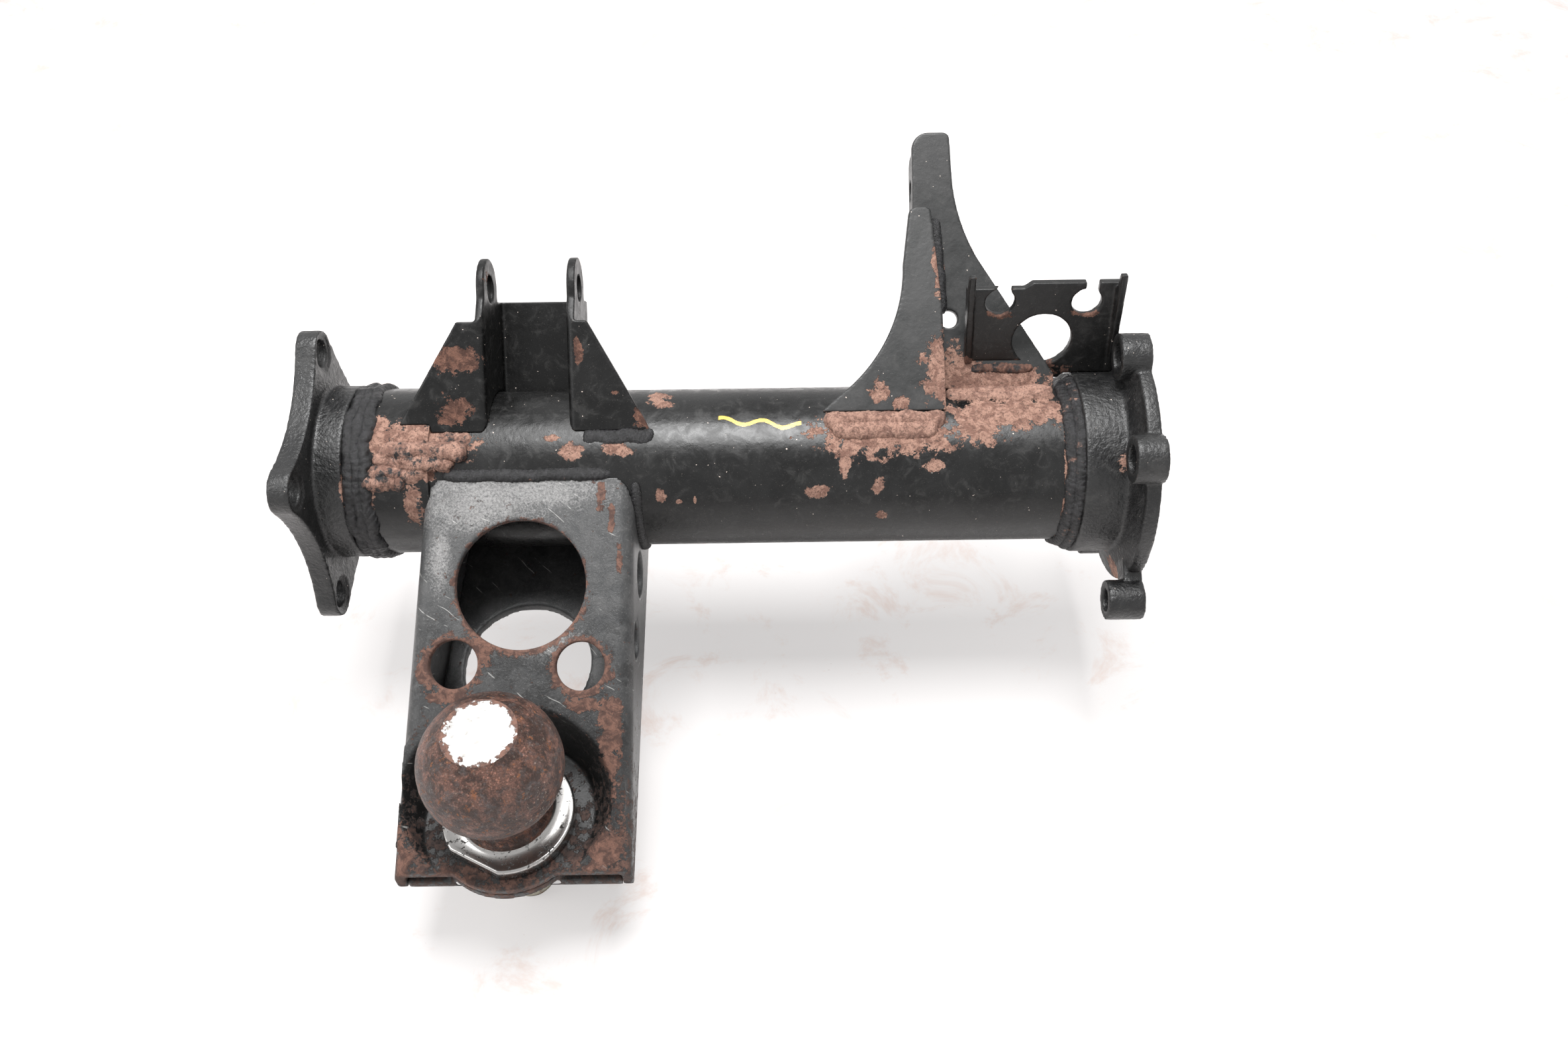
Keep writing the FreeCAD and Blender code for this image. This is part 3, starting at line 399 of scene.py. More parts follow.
def worn_plate():
    """Black paint scoured down to grey steel by the coupler: speckled, scratched, rusty at the holes."""
    material, tree, shader, place = new_material("scoured_black_enamel_on_steel")
    speck = grain(tree, place, 0.8, 4.0, 0.85)
    cloud = grain(tree, place, 8.0, 6.0, 0.72, 0.5)
    wear = nearest_spot(tree, place, PLATE_WEAR_SPOTS)
    wear = maths(tree, "ADD", wear, swing(tree, cloud, 3.2))
    wear = ramp(tree, wear, 2.4, 0.2)
    bare = ramp(tree, maths(tree, "ADD", speck, maths(tree, "MULTIPLY", wear, 0.28)), 0.52, 0.92)
    axes = add(tree, "ShaderNodeSeparateXYZ", {0: place}).outputs
    # Painted shade: the paint darkens further down the plate, towards the ball
    painted_shade_down_plate = ramp(tree, axes["Y"], -60.0, -120.0)
    paint = blend(tree, ramp(tree, cloud, 0.35, 0.68), "#2c2d2e", "#464646")
    paint = blend(tree, maths(tree, "MULTIPLY", painted_shade_down_plate, 0.75), paint, "#191919")
    black = ramp(tree, grain(tree, place, 11.0, 6.0, 0.7, 0.4), 0.49, 0.55, 0.0, 0.75)
    black = maths(tree, "MULTIPLY", black, ramp(tree, axes["Y"], -60.0, -78.0))
    paint = blend(tree, black, paint, "#101010")
    colour = blend(tree, bare, paint, "#8b8a89")
    lines = add(tree, "ShaderNodeTexWave", {"Vector": place, "Scale": 0.07, "Distortion": 22.0,
                                            "Detail": 4.0, "Detail Scale": 0.16}, bands_direction="DIAGONAL")
    scratch = maths(tree, "MULTIPLY", ramp(tree, lines.outputs["Fac"], 0.985, 1.0),
                    ramp(tree, grain(tree, place, 9.0, 2.0), 0.58, 0.66))
    colour = blend(tree, maths(tree, "MULTIPLY", scratch, 0.4), colour, "#d9d8d4")
    rust = ragged(tree, place, nearest_spot(tree, place, PLATE_RUST_SPOTS), 0.9)
    rims = swing(tree, grain(tree, place, 4.0, 5.0, 0.75), 14.0, 0.42)
    rims = maths(tree, "ADD", hole_rims(tree, place), rims)
    rim_width = ramp(tree, axes["Y"], -55.0, -80.0, 1.4, 3.4)
    rims = ramp(tree, maths(tree, "SUBTRACT", rims, rim_width), 0.6, -0.4)
    rust = maths(tree, "MAXIMUM", rust, rims)
    far_down = ramp(tree, axes["Y"], -80.0, -150.0)
    stray = maths(tree, "ADD", grain(tree, place, 3.5, 7.0, 0.78), maths(tree, "MULTIPLY", far_down, 0.16))
    stray = ramp(tree, stray, 0.62, 0.66)
    rust = maths(tree, "MAXIMUM", rust, maths(tree, "MULTIPLY", stray, 0.8))
    rubbed = maths(tree, "MULTIPLY", worn_edges(tree, place, 0.58, 0.68), far_down)
    rust = maths(tree, "MAXIMUM", rust, rubbed)
    surface = maths(tree, "MULTIPLY", maths(tree, "ADD", axes["Y"], -PLATE_LEVEL_Y), PLATE_SLOPE)
    sunk = maths(tree, "SUBTRACT", surface, axes["Z"])
    sunk = ramp(tree, maths(tree, "ADD", sunk, maths(tree, "MULTIPLY", cloud, 3.0)), 3.4, 5.4)
    sunk = maths(tree, "MULTIPLY", sunk, ramp(tree, axes["Y"], POCKET_START_Y, POCKET_START_Y - 4.0))
    colour = blend(tree, maths(tree, "MULTIPLY", sunk, 0.9), colour, "#0d0d0d")
    kept = maths(tree, "SUBTRACT", 0.92, maths(tree, "MULTIPLY", sunk, 0.55))
    colour = blend(tree, maths(tree, "MULTIPLY", rust, kept), colour, rust_colour(tree, place, BROWN_RUST))
    roughness = mix_value(tree, rust, mix_value(tree, bare, 0.36, 0.5), 0.88)
    metallic = maths(tree, "MULTIPLY", maths(tree, "SUBTRACT", 1.0, rust),
                     maths(tree, "MULTIPLY", bare, 0.3))
    height = maths(tree, "ADD", maths(tree, "MULTIPLY", speck, 0.12), maths(tree, "MULTIPLY", rust, 0.16))
    height = maths(tree, "ADD", height, maths(tree, "MULTIPLY", cloud, 0.25))
    finish(tree, shader, colour, roughness, height, 1.0, MM, metallic)
    return material


def weld_finish(name, share, rust=SALMON_RUST):
    """Arc-weld bead: painted black with the ripples, brown and salmon where the paint has gone."""
    material, tree, shader, place = new_material(name)
    paint = blend(tree, ramp(tree, grain(tree, place, 2.0, 4.0), 0.4, 0.65), "#101011", "#262527")
    level = 0.72 - 0.5 * share
    mask = ramp(tree, grain(tree, place, 4.5, 6.0, 0.72), level, level + 0.09)
    colour = blend(tree, mask, paint, rust_colour(tree, place, rust))
    roughness = mix_value(tree, mask, 0.36, 0.9)
    height = maths(tree, "MULTIPLY", grain(tree, place, 0.7, 4.0, 0.8), 0.45)
    finish(tree, shader, colour, roughness, height, 1.0, MM)
    return material


def rusty_ball():
    """Chrome worn off a forged ball: brown pitted rust, with orange where it is fresh."""
    material, tree, shader, place = new_material("pitted_rust_on_forged_steel")
    broad = ramp(tree, grain(tree, place, 6.0, 6.0, 0.72, 0.4), 0.44, 0.58)
    fine = ramp(tree, grain(tree, place, 0.9, 5.0, 0.85), 0.42, 0.58)
    fresh = ramp(tree, grain(tree, place, 3.2, 6.0, 0.72), 0.58, 0.66)
    grey = ramp(tree, grain(tree, place, 4.2, 6.0, 0.75, 0.5), 0.5, 0.62)
    colour = blend(tree, broad, "#483027", "#966a5a")
    colour = blend(tree, maths(tree, "MULTIPLY", grey, 0.7), colour, "#6e6766")
    colour = blend(tree, maths(tree, "MULTIPLY", fine, 0.6), colour, "#34251f")
    colour = blend(tree, maths(tree, "MULTIPLY", fresh, 0.8), colour, "#b3744e")
    # Painted highlight: pale glint specks in the colour, thickest on one patch of the ball's side
    painted_glint = ramp(tree, grain(tree, place, 1.0, 3.0), 0.64, 0.67)
    patch = nearest_spot(tree, place, (((-223, -143, -14), (12.0, 9.0)),))
    painted_glint = maths(tree, "MULTIPLY", painted_glint, ramp(tree, patch, 1.3, 0.6, 0.25, 1.0))
    colour = blend(tree, painted_glint, colour, "#d8c4b2")
    height = maths(tree, "ADD", maths(tree, "MULTIPLY", fine, 0.35), maths(tree, "MULTIPLY", broad, 0.45))
    finish(tree, shader, colour, mix_value(tree, fresh, 0.5, 0.85), height, 1.0, MM)
    return material


def chrome(name, flecks):
    """Bright chrome plate: a mirror, with black flecks and brown specks where it has lifted."""
    material, tree, shader, place = new_material(name)
    fleck = ramp(tree, grain(tree, place, 2.2, 6.0, 0.75), flecks, flecks + 0.03)
    speck = ramp(tree, grain(tree, place, 0.8, 3.0), 0.7, 0.74)
    colour = blend(tree, fleck, "#a3a19f", "#26211f")
    colour = blend(tree, speck, colour, "#7d5a48")
    roughness = mix_value(tree, maths(tree, "MAXIMUM", fleck, speck), 0.24, 0.7)
    metallic = maths(tree, "SUBTRACT", 1.0, maths(tree, "MAXIMUM", fleck, speck))
    finish(tree, shader, colour, roughness, maths(tree, "MULTIPLY", fleck, -0.1), 1.0, MM, metallic)
    return material


def chrome_flat():
    """The ball's ground top: bright chrome inside a ragged rusty edge."""
    material, tree, shader, place = new_material("bright_chrome_with_rust_edge")
    flat = add(tree, "ShaderNodeVectorMath", {0: place, 1: (*BALL_AT, 0.0)}, operation="SUBTRACT")
    level = {0: flat.outputs[0], 1: (1.0, 1.0, 0.0)}
    flat = add(tree, "ShaderNodeVectorMath", level, operation="MULTIPLY")
    distance = add(tree, "ShaderNodeVectorMath", {0: flat.outputs[0]}, operation="LENGTH").outputs["Value"]
    torn = swing(tree, grain(tree, place, 4.0, 6.0, 0.72), 14.0)
    edge = ramp(tree, maths(tree, "ADD", distance, torn), BALL_FLAT_R - 1.6, BALL_FLAT_R - 1.0)
    speck = ramp(tree, grain(tree, place, 1.1, 4.0, 0.7), 0.68, 0.71)
    mask = maths(tree, "MAXIMUM", edge, speck)
    cloudy = ramp(tree, grain(tree, place, 4.0, 5.0, 0.7), 0.5, 0.66)
    colour = blend(tree, cloudy, "#e4e2df", "#bdbab6")
    colour = blend(tree, mask, colour, rust_colour(tree, place, BROWN_RUST))
    metallic = maths(tree, "SUBTRACT", 1.0, mask)
    finish(tree, shader, colour, mix_value(tree, mask, 0.2, 0.8), maths(tree, "MULTIPLY", mask, 0.15), 1.0,
           MM, metallic)
    return material


def zinc():
    """Zinc-plated steel, dull grey with a yellow cast, whitened and rusted in places."""
    material, tree, shader, place = new_material("dull_zinc_plated_steel")
    broad = ramp(tree, grain(tree, place, 5.0, 4.0), 0.35, 0.65)
    colour = blend(tree, broad, "#8a877f", "#a39d8c")
    rust = ramp(tree, grain(tree, place, 3.0, 6.0, 0.7), 0.56, 0.62)
    colour = blend(tree, rust, colour, rust_colour(tree, place))
    metallic = maths(tree, "SUBTRACT", 0.9, maths(tree, "MULTIPLY", rust, 0.9))
    finish(tree, shader, colour, mix_value(tree, rust, 0.42, 0.85),
           maths(tree, "MULTIPLY", grain(tree, place, 0.8, 3.0), 0.15), 1.0, MM, metallic)
    return material


def dress(node, material):
    """Give a CAD node a better material."""
    mesh = NODES[node].data
    mesh.materials.clear()
    mesh.materials.append(material)


def keep_as(name, mesh, material, node):
    """Make a finished piece of the housing that stands for a CAD node."""
    piece = bpy.data.objects.new(name, mesh)
    bpy.context.scene.collection.objects.link(piece)
    if material is not None:
        mesh.materials.clear()
        mesh.materials.append(material)
    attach(piece, HOUSING)
    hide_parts(node)


def smooth_mesh(mesh):
    mesh.polygons.foreach_set("use_smooth", [True] * len(mesh.polygons))


def softened(node, voxel, passes, roughness):
    """Mesh of a CAD node with its edges rounded and its skin a little uneven, like a real casting."""
    source = NODES[node].data.copy()
    work = bpy.data.objects.new(node + "_work", source)
    bpy.context.scene.collection.objects.link(work)
    merge = bmesh.new()
    merge.from_mesh(source)
    bmesh.ops.remove_doubles(merge, verts=merge.verts, dist=1e-6)
    merge.to_mesh(source)
    merge.free()
    remesh = work.modifiers.new("remesh", "REMESH")
    remesh.mode = "VOXEL"
    remesh.voxel_size = voxel * MM
    remesh.use_smooth_shade = True
    soften = work.modifiers.new("soften", "SMOOTH")
    soften.factor = 0.5
    soften.iterations = passes
    graph = bpy.context.evaluated_depsgraph_get()
    mesh = bpy.data.meshes.new_from_object(work.evaluated_get(graph))
    bpy.data.objects.remove(work)
    if roughness:
        normals = [v.normal.copy() for v in mesh.vertices]
        for vertex, normal in zip(mesh.vertices, normals):
            swing = noise.fractal(vertex.co / (SKIN_GRIT * MM), 0.8, 2.0, 3)
            vertex.co += normal * swing * roughness * MM
    smooth_mesh(mesh)
    return mesh


def bead_tree():
    """Geometry Nodes that turn a path into an arc-weld bead with crescent ripples and lumps."""
    tree = bpy.data.node_groups.new("weld_bead", "GeometryNodeTree")
    face = tree.interface
    face.new_socket("Geometry", in_out="OUTPUT", socket_type="NodeSocketGeometry")
    face.new_socket("Geometry", in_out="INPUT", socket_type="NodeSocketGeometry")
    defaults = {"Radius": 3.0 * MM, "Ripple spacing": 1.6 * MM, "Ripple height": 0.35 * MM,
                "Lump height": 0.7 * MM, "Lump size": 6.0 * MM, "Seed": 0.0, "Taper": 1.0}
    for name, value in defaults.items():
        face.new_socket(name, in_out="INPUT", socket_type="NodeSocketFloat").default_value = value
    face.new_socket("Material", in_out="INPUT", socket_type="NodeSocketMaterial")
    given = add(tree, "NodeGroupInput").outputs
    curve = add(tree, "GeometryNodeResampleCurve", {"Curve": given["Geometry"], "Length": 0.4 * MM},
                mode="LENGTH").outputs[0]
    position = add(tree, "GeometryNodeSplineParameter").outputs
    curve = add(tree, "GeometryNodeStoreNamedAttribute",
                {"Geometry": curve, "Name": "along", "Value": position["Length"]},
                data_type="FLOAT", domain="POINT").outputs[0]
    ring = add(tree, "GeometryNodeCurvePrimitiveCircle", {"Resolution": 28, "Radius": given["Radius"]},
               mode="RADIUS").outputs[0]
    ring = add(tree, "GeometryNodeStoreNamedAttribute",
               {"Geometry": ring, "Name": "around", "Value": position["Factor"]},
               data_type="FLOAT", domain="POINT").outputs[0]
    ends = maths(tree, "SUBTRACT", maths(tree, "MULTIPLY", position["Factor"], 2.0), 1.0)
    ends = maths(tree, "ABSOLUTE", ends)
    ends = maths(tree, "SQRT", maths(tree, "SUBTRACT", 1.002, maths(tree, "POWER", ends, 14.0)))
    keep = mix_value(tree, given["Taper"], 1.0, ends)
    curve = add(tree, "GeometryNodeSetCurveRadius", {"Curve": curve, "Radius": keep}).outputs[0]
    bead = add(tree, "GeometryNodeCurveToMesh", {"Curve": curve, "Profile Curve": ring,
                                                 "Scale": keep, "Fill Caps": True}).outputs[0]
    length = add(tree, "GeometryNodeInputNamedAttribute", {"Name": "along"}, data_type="FLOAT").outputs[0]
    girth = add(tree, "GeometryNodeInputNamedAttribute", {"Name": "around"}, data_type="FLOAT").outputs[0]
    bow = maths(tree, "COSINE", maths(tree, "MULTIPLY", girth, 4 * math.pi))
    phase = maths(tree, "ADD", maths(tree, "DIVIDE", length, given["Ripple spacing"]),
                  maths(tree, "MULTIPLY", bow, 0.35))
    tooth = maths(tree, "MULTIPLY", maths(tree, "POWER", maths(tree, "FRACT", phase), 0.6),
                  given["Ripple height"])
    place = add(tree, "GeometryNodeInputPosition").outputs[0]
    drift = add(tree, "ShaderNodeCombineXYZ", {0: given["Seed"], 1: given["Seed"], 2: given["Seed"]})
    place = add(tree, "ShaderNodeVectorMath", {0: place, 1: drift.outputs[0]}, operation="ADD").outputs[0]
    lump = add(tree, "ShaderNodeTexNoise", {"Vector": place, "Detail": 3.0,
                                            "Scale": maths(tree, "DIVIDE", 1.0, given["Lump size"])})
    lump = swing(tree, lump.outputs["Fac"], maths(tree, "MULTIPLY", given["Lump height"], 2.0))
    rise = maths(tree, "SUBTRACT", maths(tree, "ADD", tooth, lump), given["Ripple height"])
    normal = add(tree, "GeometryNodeInputNormal").outputs[0]
    offset = add(tree, "ShaderNodeVectorMath", {0: normal, "Scale": rise}, operation="SCALE").outputs[0]
    bead = add(tree, "GeometryNodeSetPosition", {"Geometry": bead, "Offset": offset}).outputs[0]
    bead = add(tree, "GeometryNodeSetShadeSmooth", {"Geometry": bead}).outputs[0]
    bead = add(tree, "GeometryNodeRealizeInstances", {"Geometry": bead}).outputs[0]
    bead = add(tree, "GeometryNodeSetMaterial", {"Geometry": bead, "Material": given["Material"]}).outputs[0]
    add(tree, "NodeGroupOutput", {"Geometry": bead})
    return tree


BEAD_TREE = bead_tree()
SOCKET_OF = {item.name: item.identifier for item in BEAD_TREE.interface.items_tree
             if item.in_out == "INPUT"}


def weld(node, runs, radius, material, closed=False, lumps=0.7, spacing=1.6, seed=0.0):
    """Rippled beads along one or more runs in millimetres, standing for a CAD weld node."""
    data = bpy.data.curves.new(node + "_path", "CURVE")
    data.dimensions = "3D"
    for run in runs:
        spline = data.splines.new("POLY")
        spline.points.add(len(run) - 1)
        for point, at in zip(spline.points, run):
            point.co = (*millimetres(*at), 1.0)
        spline.use_cyclic_u = closed
    carrier = bpy.data.objects.new(node + "_path", data)
    bpy.context.scene.collection.objects.link(carrier)
    modifier = carrier.modifiers.new("bead", "NODES")
    modifier.node_group = BEAD_TREE
    sizes = {"Radius": radius * MM, "Ripple spacing": spacing * MM, "Lump height": lumps * MM,
             "Seed": seed, "Taper": 0.0 if closed else 1.0, "Material": material}
    for name, value in sizes.items():
        modifier[SOCKET_OF[name]] = value
    graph = bpy.context.evaluated_depsgraph_get()
    mesh = bpy.data.meshes.new_from_object(carrier.evaluated_get(graph))
    bpy.data.objects.remove(carrier)
    keep_as(node + "_bead", mesh, material, node)


def ring_path(x, radius, start=0.0, sweep=360.0, wander=0.0):
    """Points round the axle, the angle measured up from the rear."""
    count = max(2, round(sweep / RING_STEP_DEGREES))
    steps = count if sweep >= 360.0 else count + 1
    points = []
    for i in range(steps):
        turn = math.radians(start + sweep * i / count)
        shift = wander * noise.noise(Vector((math.cos(turn) * 3, math.sin(turn) * 3, x)))
        points.append((x + shift, -radius * math.cos(turn), radius * math.sin(turn)))
    return points


def line_path(x0, x1, y, z, wander=0.4):
    """Points along the axle at one place round it, with a hand's unsteadiness."""
    count = max(2, round((x1 - x0) / LINE_STEP))
    points = []
    for i in range(count + 1):
        x = x0 + (x1 - x0) * i / count
        points.append((x, y + wander * noise.noise(Vector((x * 0.15, y, z))),
                       z + wander * noise.noise(Vector((x * 0.15, z, y)))))
    return points


def tilted(x, up, out, degrees):
    """Point on a plate that leans back by an angle, given along X, up the plate and out of it."""
    turn = math.radians(degrees)
    return (x, up * math.cos(turn) - out * math.sin(turn), up * math.sin(turn) + out * math.cos(turn))


def around(radius, angle):
    """Y and Z of a point round the axle, the angle measured up from the rear."""
    turn = math.radians(angle)
    return -radius * math.cos(turn), radius * math.sin(turn)


def lathe(rings, sides, centre):
    """Closed mesh from rings of (radius at an angle, height), and a material index for each band."""
    mesh = bmesh.new()
    rows = []
    for radius, height, _ in rings:
        row = []
        for i in range(sides):
            turn = 2 * math.pi * i / sides
            r = radius(turn) if callable(radius) else radius
            row.append(mesh.verts.new(millimetres(centre[0] + r * math.cos(turn),
                                                  centre[1] + r * math.sin(turn), height)))
        rows.append(row)
    for low, high, ring in zip(rows, rows[1:], rings[1:]):
        for i in range(sides):
            j = (i + 1) % sides
            face = mesh.faces.new((low[i], low[j], high[j], high[i]))
            face.material_index = ring[2]
            face.smooth = True
    for row, ring, turned in ((rows[0], rings[0], True), (rows[-1], rings[-1], False)):
        face = mesh.faces.new(row[::-1] if turned else row)
        face.material_index = ring[2]
    return mesh


def collar_radius(limit):
    """Outline of the round collar with two wrench flats, at a given largest radius."""
    def radius(turn):
        across = abs(math.sin(turn - COLLAR_FLAT_ANGLE))
        return min(limit, (COLLAR_HALF_FLATS - COLLAR_R + limit) / max(across, 1e-6))
    return radius


def thread_radius(height, outer):
    """Radius of a screw thread at a height, as a function of the angle."""
    def radius(turn):
        phase = (height / THREAD_PITCH - turn / (2 * math.pi)) % 1.0
        return outer - THREAD_DEPTH * min(1.0, max(0.0, 2.4 * abs(phase - 0.5) - 0.1))
    return radius


def shank_rings(slot):
    """Threaded shank, from its chamfered end up to the collar."""
    rings = [(SHANK_TIP_R, SHANK_END, slot)]
    height = SHANK_END + 0.4
    while height < THREAD_END:
        grow = min(1.0, (height - SHANK_END) / SHANK_CHAMFER_HEIGHT)
        rings.append((thread_radius(height, SHANK_R - SHANK_CHAMFER * (1 - grow)), height, slot))
        height += THREAD_PITCH / THREAD_STEPS
    return rings + [(SHANK_R, THREAD_END, slot), (SHANK_R, SEAT_Z + SEAT_LIFT, slot)]


def collar_rings(slot):
    """Round collar with two flats, chamfered below and rounded above, and the fillet to the neck."""
    edge = COLLAR_TOP - COLLAR_ROUND
    rings = [(collar_radius(COLLAR_R - COLLAR_CHAMFER), SEAT_Z + SEAT_LIFT, slot),
             (collar_radius(COLLAR_R), SEAT_Z + COLLAR_CHAMFER, slot),
             (collar_radius(COLLAR_R), edge, slot)]
    for i in range(1, 7):
        turn = math.pi / 2 * i / 6
        limit = COLLAR_R - COLLAR_ROUND + COLLAR_ROUND * math.cos(turn)
        rings.append((collar_radius(limit), edge + COLLAR_ROUND * math.sin(turn), slot))
    rings.append((collar_radius(COLLAR_R - 2.0), COLLAR_TOP + SEAT_LIFT, slot))
    return rings + [(NECK_R + out, COLLAR_TOP + up, slot) for out, up in NECK_FILLET]


def ball_rings(slot, flat_slot, last):
    """Neck and ball up to the angle where the flat starts, and the flat itself."""
    rings = [(NECK_R + out, COLLAR_TOP + up, slot) for out, up in NECK_STEP]
    first = -math.acos((NECK_R + 0.6) / BALL_R)
    for i in range(BALL_STEPS + 1):
        turn = first + (last - first) * i / BALL_STEPS
        rings.append((BALL_R * math.cos(turn), BALL_CENTRE_Z + BALL_R * math.sin(turn), slot))
    top = BALL_CENTRE_Z + BALL_R * math.sin(last)
    for share in (0.97, 0.85, 0.6, 0.3, 0.03):
        rings.append((BALL_FLAT_R * share, top + 0.01 * (1 - share), flat_slot))
    return rings


def pit_ball(mesh, top):
    """Sink the ball's skin by rust pits and dents, none at the neck's foot and none at the flat."""
    centre = millimetres(*BALL_AT, BALL_CENTRE_Z)
    for vertex in mesh.verts:
        away = vertex.co - centre
        low = (vertex.co.z / MM - COLLAR_TOP - 5.0) / 4.0
        high = (top - vertex.co.z / MM) / 1.5
        share = max(0.0, min(1.0, low, high))
        if share > 0.0:
            pit = noise.fractal(vertex.co / (PIT_WIDTH * MM), 0.9, 2.0, 4)
            dent = noise.noise(vertex.co / (DENT_WIDTH * MM))
            swell = PIT_DEPTH * pit + DENT_DEPTH * dent - SKIN_LOSS
            vertex.co += away.normalized() * share * MM * swell


def ball_and_shank():
    """The forged ball, its plated collar and its threaded shank, in one piece."""
    rusty, bright, plated, shank = range(4)
    last = math.acos(BALL_FLAT_R / BALL_R)
    rings = shank_rings(shank) + collar_rings(plated) + ball_rings(rusty, bright, last)
    mesh = lathe(rings, BALL_SIDES, BALL_AT)
    pit_ball(mesh, BALL_CENTRE_Z + BALL_R * math.sin(last))
    data = bpy.data.meshes.new("trailer_ball")
    bmesh.ops.recalc_face_normals(mesh, faces=mesh.faces)
    mesh.to_mesh(data)
    mesh.free()
    for material in (rusty_ball(), chrome_flat(), chrome("chrome_plated_collar", 0.58), zinc()):
        data.materials.append(material)
    keep_as("trailer_ball", data, None, "ball_stud")


def dress_sheets():
    """Paint the tube, plate the nut and washer, and make worn copies of the castings and sheets."""
    tube_paint = enamel("satin_black_enamel_on_tube", "#080808", "#191919", TUBE_SPOTS, 0.725, 0.22,
                        sheen=0.36, stroke=True, fresh=FRESH_PAINT)
    cast_paint = enamel("satin_black_enamel_on_cast_iron", "#0e0e0f", "#212121", CASTING_SPOTS, 0.735, 0.3,
                        cast=0.4, edges=0.35)
    sheet_paint = enamel("satin_black_enamel_on_sheet", "#050505", "#0f0f0f", BRACKET_SPOTS, 0.72, 0.32,
                         edges=0.9, sheen=0.28, rust=BROWN_RUST)
    guide_paint = enamel("satin_black_enamel_on_guide", "#0a0a0a", "#161616", GUIDE_SPOTS, 0.73, 0.32,
                         edges=0.5, sheen=0.4, rust=BROWN_RUST)
    arm_paint = enamel("faded_black_enamel_on_arm", "#1b1c1c", "#2f2f2f", ARM_SPOTS, 0.725, 0.36,
                       edges=0.4, sheen=0.4)
    hitch_steel = worn_plate()
    plated = zinc()
    for node, material in (("axle_tube", tube_paint), ("tube_sleeve", tube_paint),
                           ("lock_washer", plated), ("hex_nut", plated)):
        dress(node, material)
    # Each node with its material, its slot, the voxel size and smoothing passes, and the skin's height
    for node, material, slot, voxel, passes, rough in (
            ("outer_flange", cast_paint, "cast_paint", 0.7, 4, 0.1),
            ("inner_flange", cast_paint, "cast_paint", 0.7, 4, 0.1),
            ("hitch_upper_channel", hitch_steel, "worn_hitch_plate", 0.7, 3, 0.0),
            ("hitch_lower_plate", hitch_steel, "worn_hitch_plate", 0.8, 2, 0.0),
            ("shock_bracket", sheet_paint, "black_paint", 0.55, 3, 0.0),
            ("guide_bracket", guide_paint, "black_paint", 0.5, 3, 0.0),
            ("arm_plate", arm_paint, "black_paint", 0.55, 3, 0.0),
            ("arm_gusset", arm_paint, "black_paint", 0.55, 3, 0.0)):
        keep_as(node + "_worn", softened(node, voxel, passes, rough), material, node)


def lay_beads():
    """A rippled bead in place of each plain weld."""
    black = weld_finish("black_painted_weld", 0.1)
    brown = weld_finish("rusty_painted_weld", 0.26)
    bare = weld_finish("bare_rusty_weld", 0.9)
    patchy = weld_finish("patchy_rusty_weld", 0.62)
    dark = weld_finish("dark_rusty_weld", 0.6, BROWN_RUST)

    outer = [ring_path(x, SLEEVE_R - 1.0, wander=1.6) for x in (-302.0, -299.0, -296.0)]
    weld("outer_flange_weld", outer, 3.0, black, closed=True, lumps=1.7, spacing=2.6)
    inner = [ring_path(-29.0, TUBE_R - 0.4, wander=1.0), ring_path(-26.0, TUBE_R + 1.0, wander=0.8)]
    weld("inner_flange_weld", inner, 3.0, brown, closed=True, lumps=1.2, spacing=2.0)

    _, y, z = tilted(0, *SHOCK_FOOT)
    left = [line_path(-292.5, -255.0, y + 1.4, z - 1.6)]
    left += [line_path(start, end, *around(SLEEVE_R - 1.8, angle), wander=1.6)
             for angle, start, end in SHOCK_LEFT_PASSES]
    weld("shock_weld_left", left, 4.1, patchy, lumps=2.0, spacing=2.2, seed=3.0)
    right = [line_path(-214.5, -186.5, y + 1.2, z - 1.0)]
    weld("shock_weld_right", right, 3.9, black, lumps=1.3, seed=5.0)

    (x0, up0), (x1, up1) = ARM_SEAM
    seam = []
    for i in range(SEAM_PARTS + 1):
        x, up = x0 + (x1 - x0) * i / SEAM_PARTS, up0 + (up1 - up0) * i / SEAM_PARTS
        seam.append(tilted(x, up, ARM_SEAM_OUT, ARM_TILT))
    weld("arm_seam_weld", [seam], 3.0, black, lumps=0.8, seed=7.0)
    gusset_foot = [line_path(-123.0, -76.0, *around(TUBE_R - 1.4, 80.0)),
                   line_path(-120.0, -79.0, *around(TUBE_R - 1.6, 73.0))]
    weld("arm_gusset_weld", gusset_foot, 4.3, bare, lumps=1.4, spacing=2.0, seed=9.0)
    plate_foot = [line_path(-75.0, -33.0, *around(TUBE_R - 1.0, angle), wander=1.0)
                  for angle in (109.0, 103.0)]
    weld("arm_plate_weld", plate_foot, 3.0, bare, lumps=1.5, seed=11.0)
    guide_foot = [line_path(-65.0, -40.0, 19.6, 33.0, wander=0.8)]
    weld("guide_weld", guide_foot, 2.2, dark, lumps=1.0, seed=13.0)

    hitch_top = [line_path(-267.5, -202.5, *around(TUBE_R - 1.4, 43.0))]
    weld("hitch_top_weld", hitch_top, 3.1, black, lumps=1.0, spacing=2.0, seed=15.0)
    for side, x in (("left", -276.4), ("right", -194.2)):
        run = [ring_path(x, TUBE_R - 0.2, -58.0, 96.0)]
        weld("hitch_side_weld_" + side, run, 2.2, black, lumps=0.5, seed=x)
    weld("hitch_lower_weld", [line_path(-262.0, -206.0, 5.0, -32.6)], 2.7, black, seed=21.0)


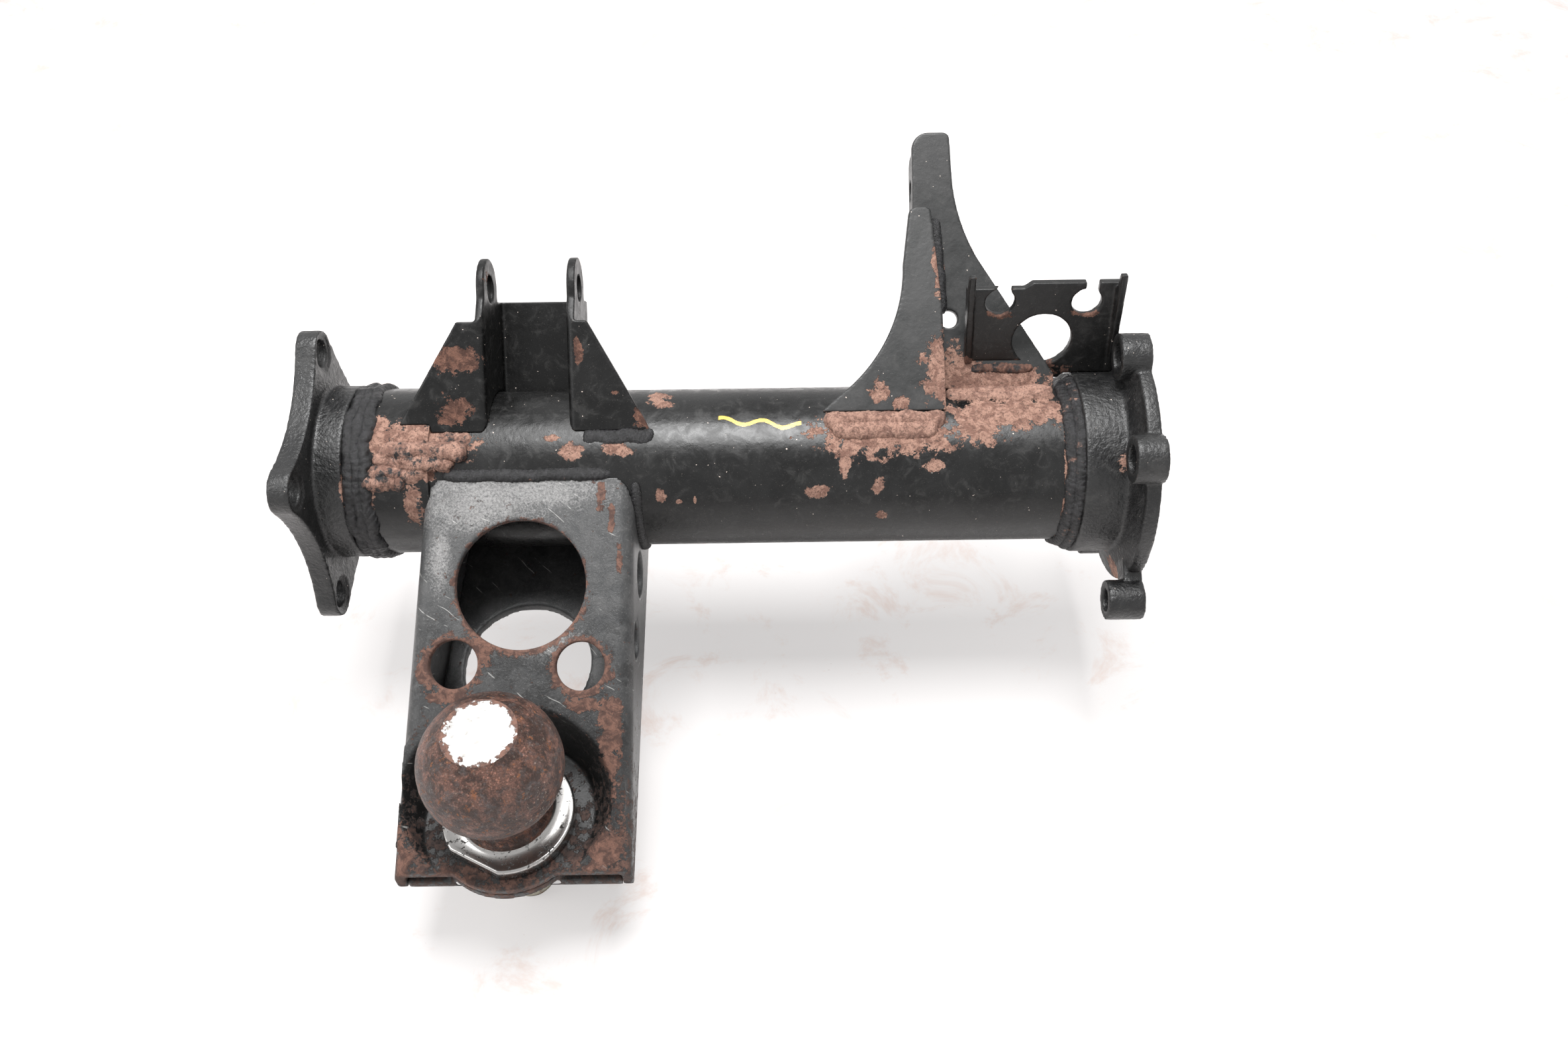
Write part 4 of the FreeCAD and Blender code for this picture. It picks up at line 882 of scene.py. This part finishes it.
def lay_floor():
    """Pale dusty floor under the shank's end."""
    mesh = bmesh.new()
    bmesh.ops.create_grid(mesh, x_segments=1, y_segments=1, size=4.0)
    data = bpy.data.meshes.new("floor")
    mesh.to_mesh(data)
    mesh.free()
    floor = bpy.data.objects.new("floor", data)
    floor.location = (0.0, 0.0, FLOOR_Z * MM)
    bpy.context.scene.collection.objects.link(floor)
    material, tree, shader, place = new_material("pale_dusty_floor")
    stain = ramp(tree, grain(tree, place, 40.0, 6.0, 0.72, 0.6), 0.52, 0.7)
    dust = ramp(tree, grain(tree, place, 3.0, 5.0, 0.75), 0.68, 0.72)
    colour = blend(tree, maths(tree, "MULTIPLY", stain, 0.5), "#f8f5f4", "#e6cdc1")
    colour = blend(tree, maths(tree, "MULTIPLY", dust, 0.35), colour, "#a88a7a")
    finish(tree, shader, colour, 0.8, dust, 0.1, MM)
    # Seen directly, the floor is nearly half its own light, so that it is as pale as a studio sweep
    glow = add(tree, "ShaderNodeEmission", {"Color": colour, "Strength": 1.08})
    seen = add(tree, "ShaderNodeLightPath").outputs["Is Camera Ray"]
    share = maths(tree, "MULTIPLY", seen, 0.45)
    both = add(tree, "ShaderNodeMixShader", {0: share, 1: shader.outputs[0], 2: glow.outputs[0]})
    target = [node for node in tree.nodes if node.type == "OUTPUT_MATERIAL"][0]
    tree.links.new(both.outputs[0], target.inputs["Surface"])
    floor.data.materials.append(material)


def light_studio():
    """White surroundings, brighter where seen or mirrored than as light, and two soft lamps."""
    scene = bpy.context.scene
    world = bpy.data.worlds.new("studio")
    scene.world = world
    world.use_nodes = True
    tree = world.node_tree
    tree.nodes.clear()
    path = add(tree, "ShaderNodeLightPath").outputs
    seen = maths(tree, "MAXIMUM", path["Is Camera Ray"], path["Is Glossy Ray"])
    seen = maths(tree, "MAXIMUM", seen, path["Is Transmission Ray"])
    strength = mix_value(tree, seen, 0.52, 1.0)
    white = (1.0, 1.0, 1.0, 1.0)
    background = add(tree, "ShaderNodeBackground", {"Color": white, "Strength": strength})
    add(tree, "ShaderNodeOutputWorld", {"Surface": background.outputs[0]})
    for name, at, size, power in LAMPS:
        lamp = bpy.data.lights.new(name, "AREA")
        lamp.size = size
        lamp.energy = power
        holder = bpy.data.objects.new(name, lamp)
        holder.location = at
        aim = Vector(LAMP_AIM) - Vector(at)
        holder.rotation_euler = aim.to_track_quat("-Z", "Y").to_euler()
        scene.collection.objects.link(holder)


def place_camera():
    """Camera behind and above the hitch, looking down across the axle and rolled slightly."""
    scene = bpy.context.scene
    camera = bpy.data.cameras.new("camera")
    camera.sensor_width = CAMERA_SENSOR
    camera.lens = CAMERA_LENS
    eye = bpy.data.objects.new("camera", camera)
    scene.collection.objects.link(eye)
    elevation = math.radians(CAMERA_ELEVATION)
    roll = math.radians(CAMERA_ROLL)
    right = Vector((math.cos(roll), -math.sin(roll) * math.sin(elevation),
                    -math.sin(roll) * math.cos(elevation)))
    back = Vector((0.0, -math.cos(elevation), math.sin(elevation)))
    up = back.cross(right)
    turn = Matrix((right, up, back)).transposed().to_4x4()
    eye.matrix_world = Matrix.Translation(millimetres(*CAMERA_AT)) @ turn
    scene.camera = eye
    scene.view_settings.view_transform = "Standard"


dress_sheets()
lay_beads()
ball_and_shank()
lay_floor()
light_studio()
place_camera()
